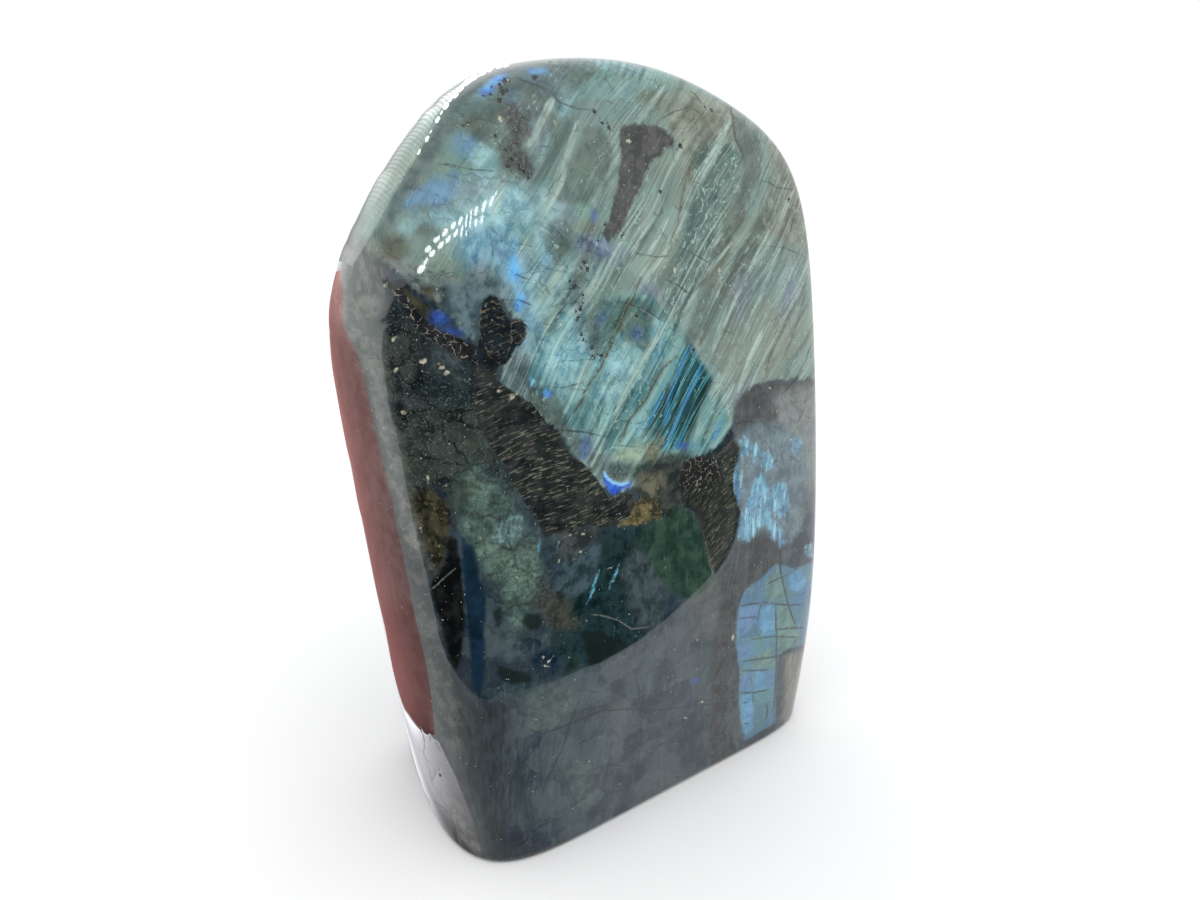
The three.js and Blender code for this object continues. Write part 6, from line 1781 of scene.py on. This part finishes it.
for strip in (
    ([(-32.13, 114.69), (-32.21, 115.16), (-31.94, 115.53), (-31.61, 115.87), (-31.14, 115.88), (-31.06, 115.42), (-31.33, 115.04), (-31.66, 114.71)], (-31.63, 115.29)),
    ([(-30.71, 116.43), (-30.75, 116.89), (-30.47, 117.31), (-30.13, 117.7), (-29.66, 117.77), (-29.61, 117.31), (-29.89, 116.88), (-30.24, 116.5)], (-30.18, 117.1)),
    ([(-29.18, 117.66), (-29.25, 118.07), (-29.02, 118.51), (-28.73, 118.91), (-28.3, 119.05), (-28.23, 118.64), (-28.47, 118.2), (-28.76, 117.8)], (-28.74, 118.35)),
    ([(-27.75, 118.96), (-27.83, 119.36), (-27.62, 119.81), (-27.35, 120.23), (-26.95, 120.41), (-26.86, 120.01), (-27.08, 119.56), (-27.34, 119.13)], (-27.35, 119.68)),
    ([(-26.45, 119.81), (-26.55, 120.2), (-26.39, 120.71), (-26.18, 121.2), (-25.83, 121.49), (-25.72, 121.1), (-25.89, 120.59), (-26.1, 120.09)], (-26.14, 120.65)),
    ([(-25.3, 119.42), (-25.36, 119.96), (-25.28, 120.79), (-25.17, 121.62), (-24.98, 122.17), (-24.91, 121.63), (-25, 120.8), (-25.11, 119.98)], (-25.14, 120.8)),
    ([(-24.64, 119.44), (-24.66, 120.19), (-24.52, 121.33), (-24.35, 122.48), (-24.13, 123.24), (-24.11, 122.48), (-24.25, 121.34), (-24.41, 120.2)], (-24.38, 121.34)),
    ([(-23.58, 121.9), (-23.75, 122.26), (-23.69, 122.8), (-23.57, 123.34), (-23.29, 123.71), (-23.12, 123.35), (-23.18, 122.81), (-23.3, 122.26)], (-23.44, 122.8)),
    ([(-23.63, 119.96), (-23.77, 120.29), (-23.71, 120.79), (-23.61, 121.29), (-23.37, 121.63), (-23.23, 121.29), (-23.29, 120.79), (-23.39, 120.29)], (-23.5, 120.79)),
    ([(-22.36, 122.64), (-22.47, 123.15), (-22.31, 123.88), (-22.09, 124.61), (-21.72, 125.08), (-21.61, 124.57), (-21.77, 123.84), (-21.99, 123.11)], (-22.04, 123.86)),
    ([(-22.6, 120.67), (-22.71, 121.02), (-22.62, 121.52), (-22.5, 122.02), (-22.24, 122.35), (-22.13, 122.01), (-22.22, 121.5), (-22.34, 121)], (-22.42, 121.51)),
    ([(-21.12, 123.82), (-21.18, 124.27), (-20.99, 124.9), (-20.75, 125.52), (-20.4, 125.9), (-20.33, 125.45), (-20.53, 124.82), (-20.77, 124.2)], (-20.76, 124.86)),
    ([(-20.24, 125.68), (-20.23, 125.95), (-20.08, 126.32), (-19.92, 126.69), (-19.73, 126.91), (-19.74, 126.65), (-19.89, 126.27), (-20.05, 125.9)], (-19.99, 126.29)),
    ([(-33.49, 111.08), (-33.61, 111.64), (-33.29, 112.14), (-32.9, 112.58), (-32.32, 112.65), (-32.2, 112.08), (-32.51, 111.59), (-32.9, 111.14)], (-32.9, 111.86)),
    ([(-32.5, 112.57), (-32.52, 112.93), (-32.3, 113.31), (-32.03, 113.66), (-31.69, 113.8), (-31.67, 113.44), (-31.89, 113.06), (-32.15, 112.7)], (-32.09, 113.18)),
    ([(-31.48, 113.98), (-31.55, 114.43), (-31.28, 114.84), (-30.96, 115.21), (-30.5, 115.28), (-30.43, 114.83), (-30.7, 114.41), (-31.02, 114.05)], (-30.99, 114.63)),
    ([(-30.01, 115.43), (-30.05, 115.86), (-29.79, 116.3), (-29.48, 116.71), (-29.04, 116.84), (-29, 116.41), (-29.26, 115.96), (-29.57, 115.56)], (-29.52, 116.13)),
    ([(-28.63, 116.58), (-28.69, 116.98), (-28.46, 117.44), (-28.19, 117.88), (-27.8, 118.08), (-27.74, 117.67), (-27.97, 117.21), (-28.24, 116.77)], (-28.22, 117.33)),
    ([(-27.28, 117.71), (-27.37, 118.08), (-27.2, 118.54), (-26.98, 118.99), (-26.63, 119.23), (-26.54, 118.85), (-26.71, 118.39), (-26.93, 117.95)], (-26.95, 118.47)),
    ([(-26.15, 117.69), (-26.21, 118.19), (-26.09, 118.93), (-25.94, 119.68), (-25.72, 120.17), (-25.66, 119.67), (-25.78, 118.93), (-25.92, 118.18)], (-25.93, 118.93)),
    ([(-25.24, 118.16), (-25.31, 118.39), (-25.28, 118.74), (-25.23, 119.1), (-25.11, 119.33), (-25.04, 119.1), (-25.07, 118.75), (-25.12, 118.4)], (-25.17, 118.75)),
):
    card("window_strip", strip[0], 120, (1.0, 1.0, 1.0), 16.0, 2, strip[1])
for tooth in (
    ([(-33.12, 131), (-33.21, 131.33), (-33.09, 131.71), (-32.93, 132.07), (-32.65, 132.22), (-32.56, 131.89), (-32.68, 131.51), (-32.84, 131.15)], (-32.89, 131.61)),
    ([(-31.81, 133.41), (-31.97, 133.8), (-31.86, 134.22), (-31.68, 134.62), (-31.32, 134.75), (-31.16, 134.35), (-31.28, 133.94), (-31.45, 133.55)], (-31.57, 134.08)),
    ([(-31.13, 135.09), (-31.16, 135.33), (-31.06, 135.59), (-30.93, 135.83), (-30.74, 135.92), (-30.71, 135.68), (-30.81, 135.42), (-30.94, 135.18)], (-30.93, 135.5)),
    ([(-30.13, 137.11), (-30.31, 137.59), (-30.19, 138.08), (-30, 138.54), (-29.61, 138.66), (-29.43, 138.16), (-29.56, 137.68), (-29.75, 137.25)], (-29.87, 137.87)),
    ([(-29.43, 138.98), (-29.47, 139.26), (-29.37, 139.56), (-29.24, 139.83), (-29.05, 139.92), (-29.01, 139.62), (-29.11, 139.33), (-29.23, 139.07)], (-29.24, 139.44)),
    ([(-28.91, 140.14), (-29.07, 140.81), (-28.89, 141.38), (-28.64, 141.87), (-28.18, 141.82), (-28.02, 141.14), (-28.2, 140.62), (-28.46, 140.17)], (-28.54, 140.96)),
    ([(-28.06, 142.01), (-28.11, 142.41), (-28, 142.74), (-27.85, 143.03), (-27.6, 143.01), (-27.55, 142.6), (-27.67, 142.28), (-27.82, 142.02)], (-27.83, 142.5)),
    ([(-27.49, 143.02), (-27.56, 143.8), (-27.3, 144.25), (-26.99, 144.59), (-26.54, 144.3), (-26.49, 143.57), (-26.75, 143.15), (-27.06, 142.83)], (-27.01, 143.65)),
    ([(-26.66, 144.76), (-26.79, 145.79), (-26.58, 146.42), (-26.29, 146.88), (-25.79, 146.42), (-25.68, 145.44), (-25.91, 144.91), (-26.2, 144.52)], (-26.22, 145.56)),
    ([(-25.66, 146.83), (-25.81, 148.32), (-25.56, 149.33), (-25.23, 150.15), (-24.63, 149.38), (-24.5, 147.83), (-24.78, 147.06), (-25.13, 146.49)], (-25.14, 148.01)),
    ([(-24.41, 148.78), (-24.52, 150.34), (-24.27, 151.21), (-23.94, 151.83), (-23.4, 150.71), (-23.32, 149.23), (-23.6, 148.61), (-23.94, 148.22)], (-23.9, 149.68)),
    ([(-23.05, 150.18), (-23.04, 151.66), (-22.72, 152.51), (-22.35, 153.16), (-21.85, 151.98), (-21.89, 150.56), (-22.23, 149.99), (-22.61, 149.62)], (-22.45, 151.01)),
    ([(-21.74, 151.64), (-21.7, 153.2), (-21.13, 151.53), (-20.77, 151.9), (-20.62, 153.49), (-20.68, 151.99), (-21, 151.43), (-21.36, 151.09)], (-21.18, 152.45)),
    ([(-20.19, 154.45), (-19.87, 152.87), (-19.59, 153.39), (-19.28, 153.73), (-18.97, 153.07), (-19.25, 154.35), (-19.53, 153.64), (-19.84, 153.31)], (-19.47, 152.44)),
    ([(-18.43, 152.99), (-18.31, 153.79), (-18.05, 154.19), (-17.77, 154.43), (-17.52, 153.88), (-17.65, 153.11), (-17.92, 152.81), (-18.19, 152.63)], (-17.98, 153.41)),
):
    card("window_rim", tooth[0], 120, (1.0, 1.0, 1.0), 16.0, 2, tooth[1])
strip_card("window_rim_line", [(-34.25, 129.28), (-33.97, 129.78), (-33.68, 130.29), (-33.39, 130.8), (-33.1, 131.31), (-32.83, 131.83), (-32.57, 132.37), (-32.32, 132.92), (-32.07, 133.47), (-31.81, 134.03), (-31.56, 134.59), (-31.31, 135.16), (-31.06, 135.73), (-30.8, 136.32), (-30.55, 136.91), (-30.31, 137.52), (-30.06, 138.13), (-29.8, 138.76), (-29.52, 139.38), (-29.25, 140.01), (-28.98, 140.67), (-28.7, 141.36), (-28.39, 142.02), (-28.09, 142.72), (-27.79, 143.45), (-27.5, 144.25), (-27.18, 145.03), (-26.84, 145.85), (-26.52, 146.74), (-26.2, 147.74), (-25.78, 148.48), (-25.31, 149.09), (-24.84, 149.75), (-24.38, 150.5)],
    [(-34.16, 129.22), (-33.88, 129.72), (-33.59, 130.23), (-33.3, 130.74), (-33.01, 131.25), (-32.74, 131.78), (-32.48, 132.32), (-32.23, 132.86), (-31.97, 133.41), (-31.72, 133.97), (-31.47, 134.53), (-31.21, 135.1), (-30.96, 135.67), (-30.71, 136.25), (-30.46, 136.84), (-30.21, 137.44), (-29.96, 138.06), (-29.7, 138.67), (-29.43, 139.28), (-29.15, 139.92), (-28.88, 140.57), (-28.6, 141.23), (-28.29, 141.89), (-27.99, 142.57), (-27.69, 143.29), (-27.39, 144.05), (-27.07, 144.81), (-26.73, 145.59), (-26.4, 146.45), (-26.08, 147.39), (-25.67, 148.09), (-25.2, 148.67), (-24.73, 149.31), (-24.27, 150.01)],
    150, (1.0, 1.0, 1.0), 4.0, 2)
strip_card("blind", [(-18.81, 152.63), (-21.05, 153.25), (-22.9, 150.61), (-24.91, 149.83), (-26.75, 148.49), (-28.59, 147.4), (-30.48, 146.72), (-31.5, 143.14), (-33.65, 143.86), (-34.22, 139.63), (-35.47, 137.84), (-36.7, 136.12), (-37.97, 134.56), (-38.99, 132.6), (-40.12, 130.89), (-42.44, 131.4), (-43.14, 128.89), (-43.91, 126.64), (-44.67, 124.51), (-45.57, 122.6), (-47.16, 121.6), (-47.84, 119.46), (-49.85, 118.78), (-50.32, 116.41)],
    [(-17.99, 153.77), (-20.08, 153.54), (-21.86, 150.83), (-23.53, 148.56), (-25.15, 146.56), (-26.69, 144.69), (-28.04, 142.64), (-29.23, 140.55), (-30.28, 138.47), (-31.08, 136.31), (-31.86, 134.26), (-32.61, 132.28), (-33.47, 130.43), (-34.41, 128.65), (-35.43, 126.97), (-36.45, 125.31), (-37.45, 123.68), (-38.47, 122.07), (-39.49, 120.48), (-40.55, 118.94), (-41.67, 117.43), (-42.83, 115.95), (-44.19, 114.59), (-45.64, 113.28)],
    260, (0.97, 1.0, 1.0), 1.0, 10, levels=(0.45, 0.88, 1.5, 2.5, 3.2), falls=(0.9, 0.9, 1.0, 1.0, 0.85, 0.6), arcs=(54, 0.26))
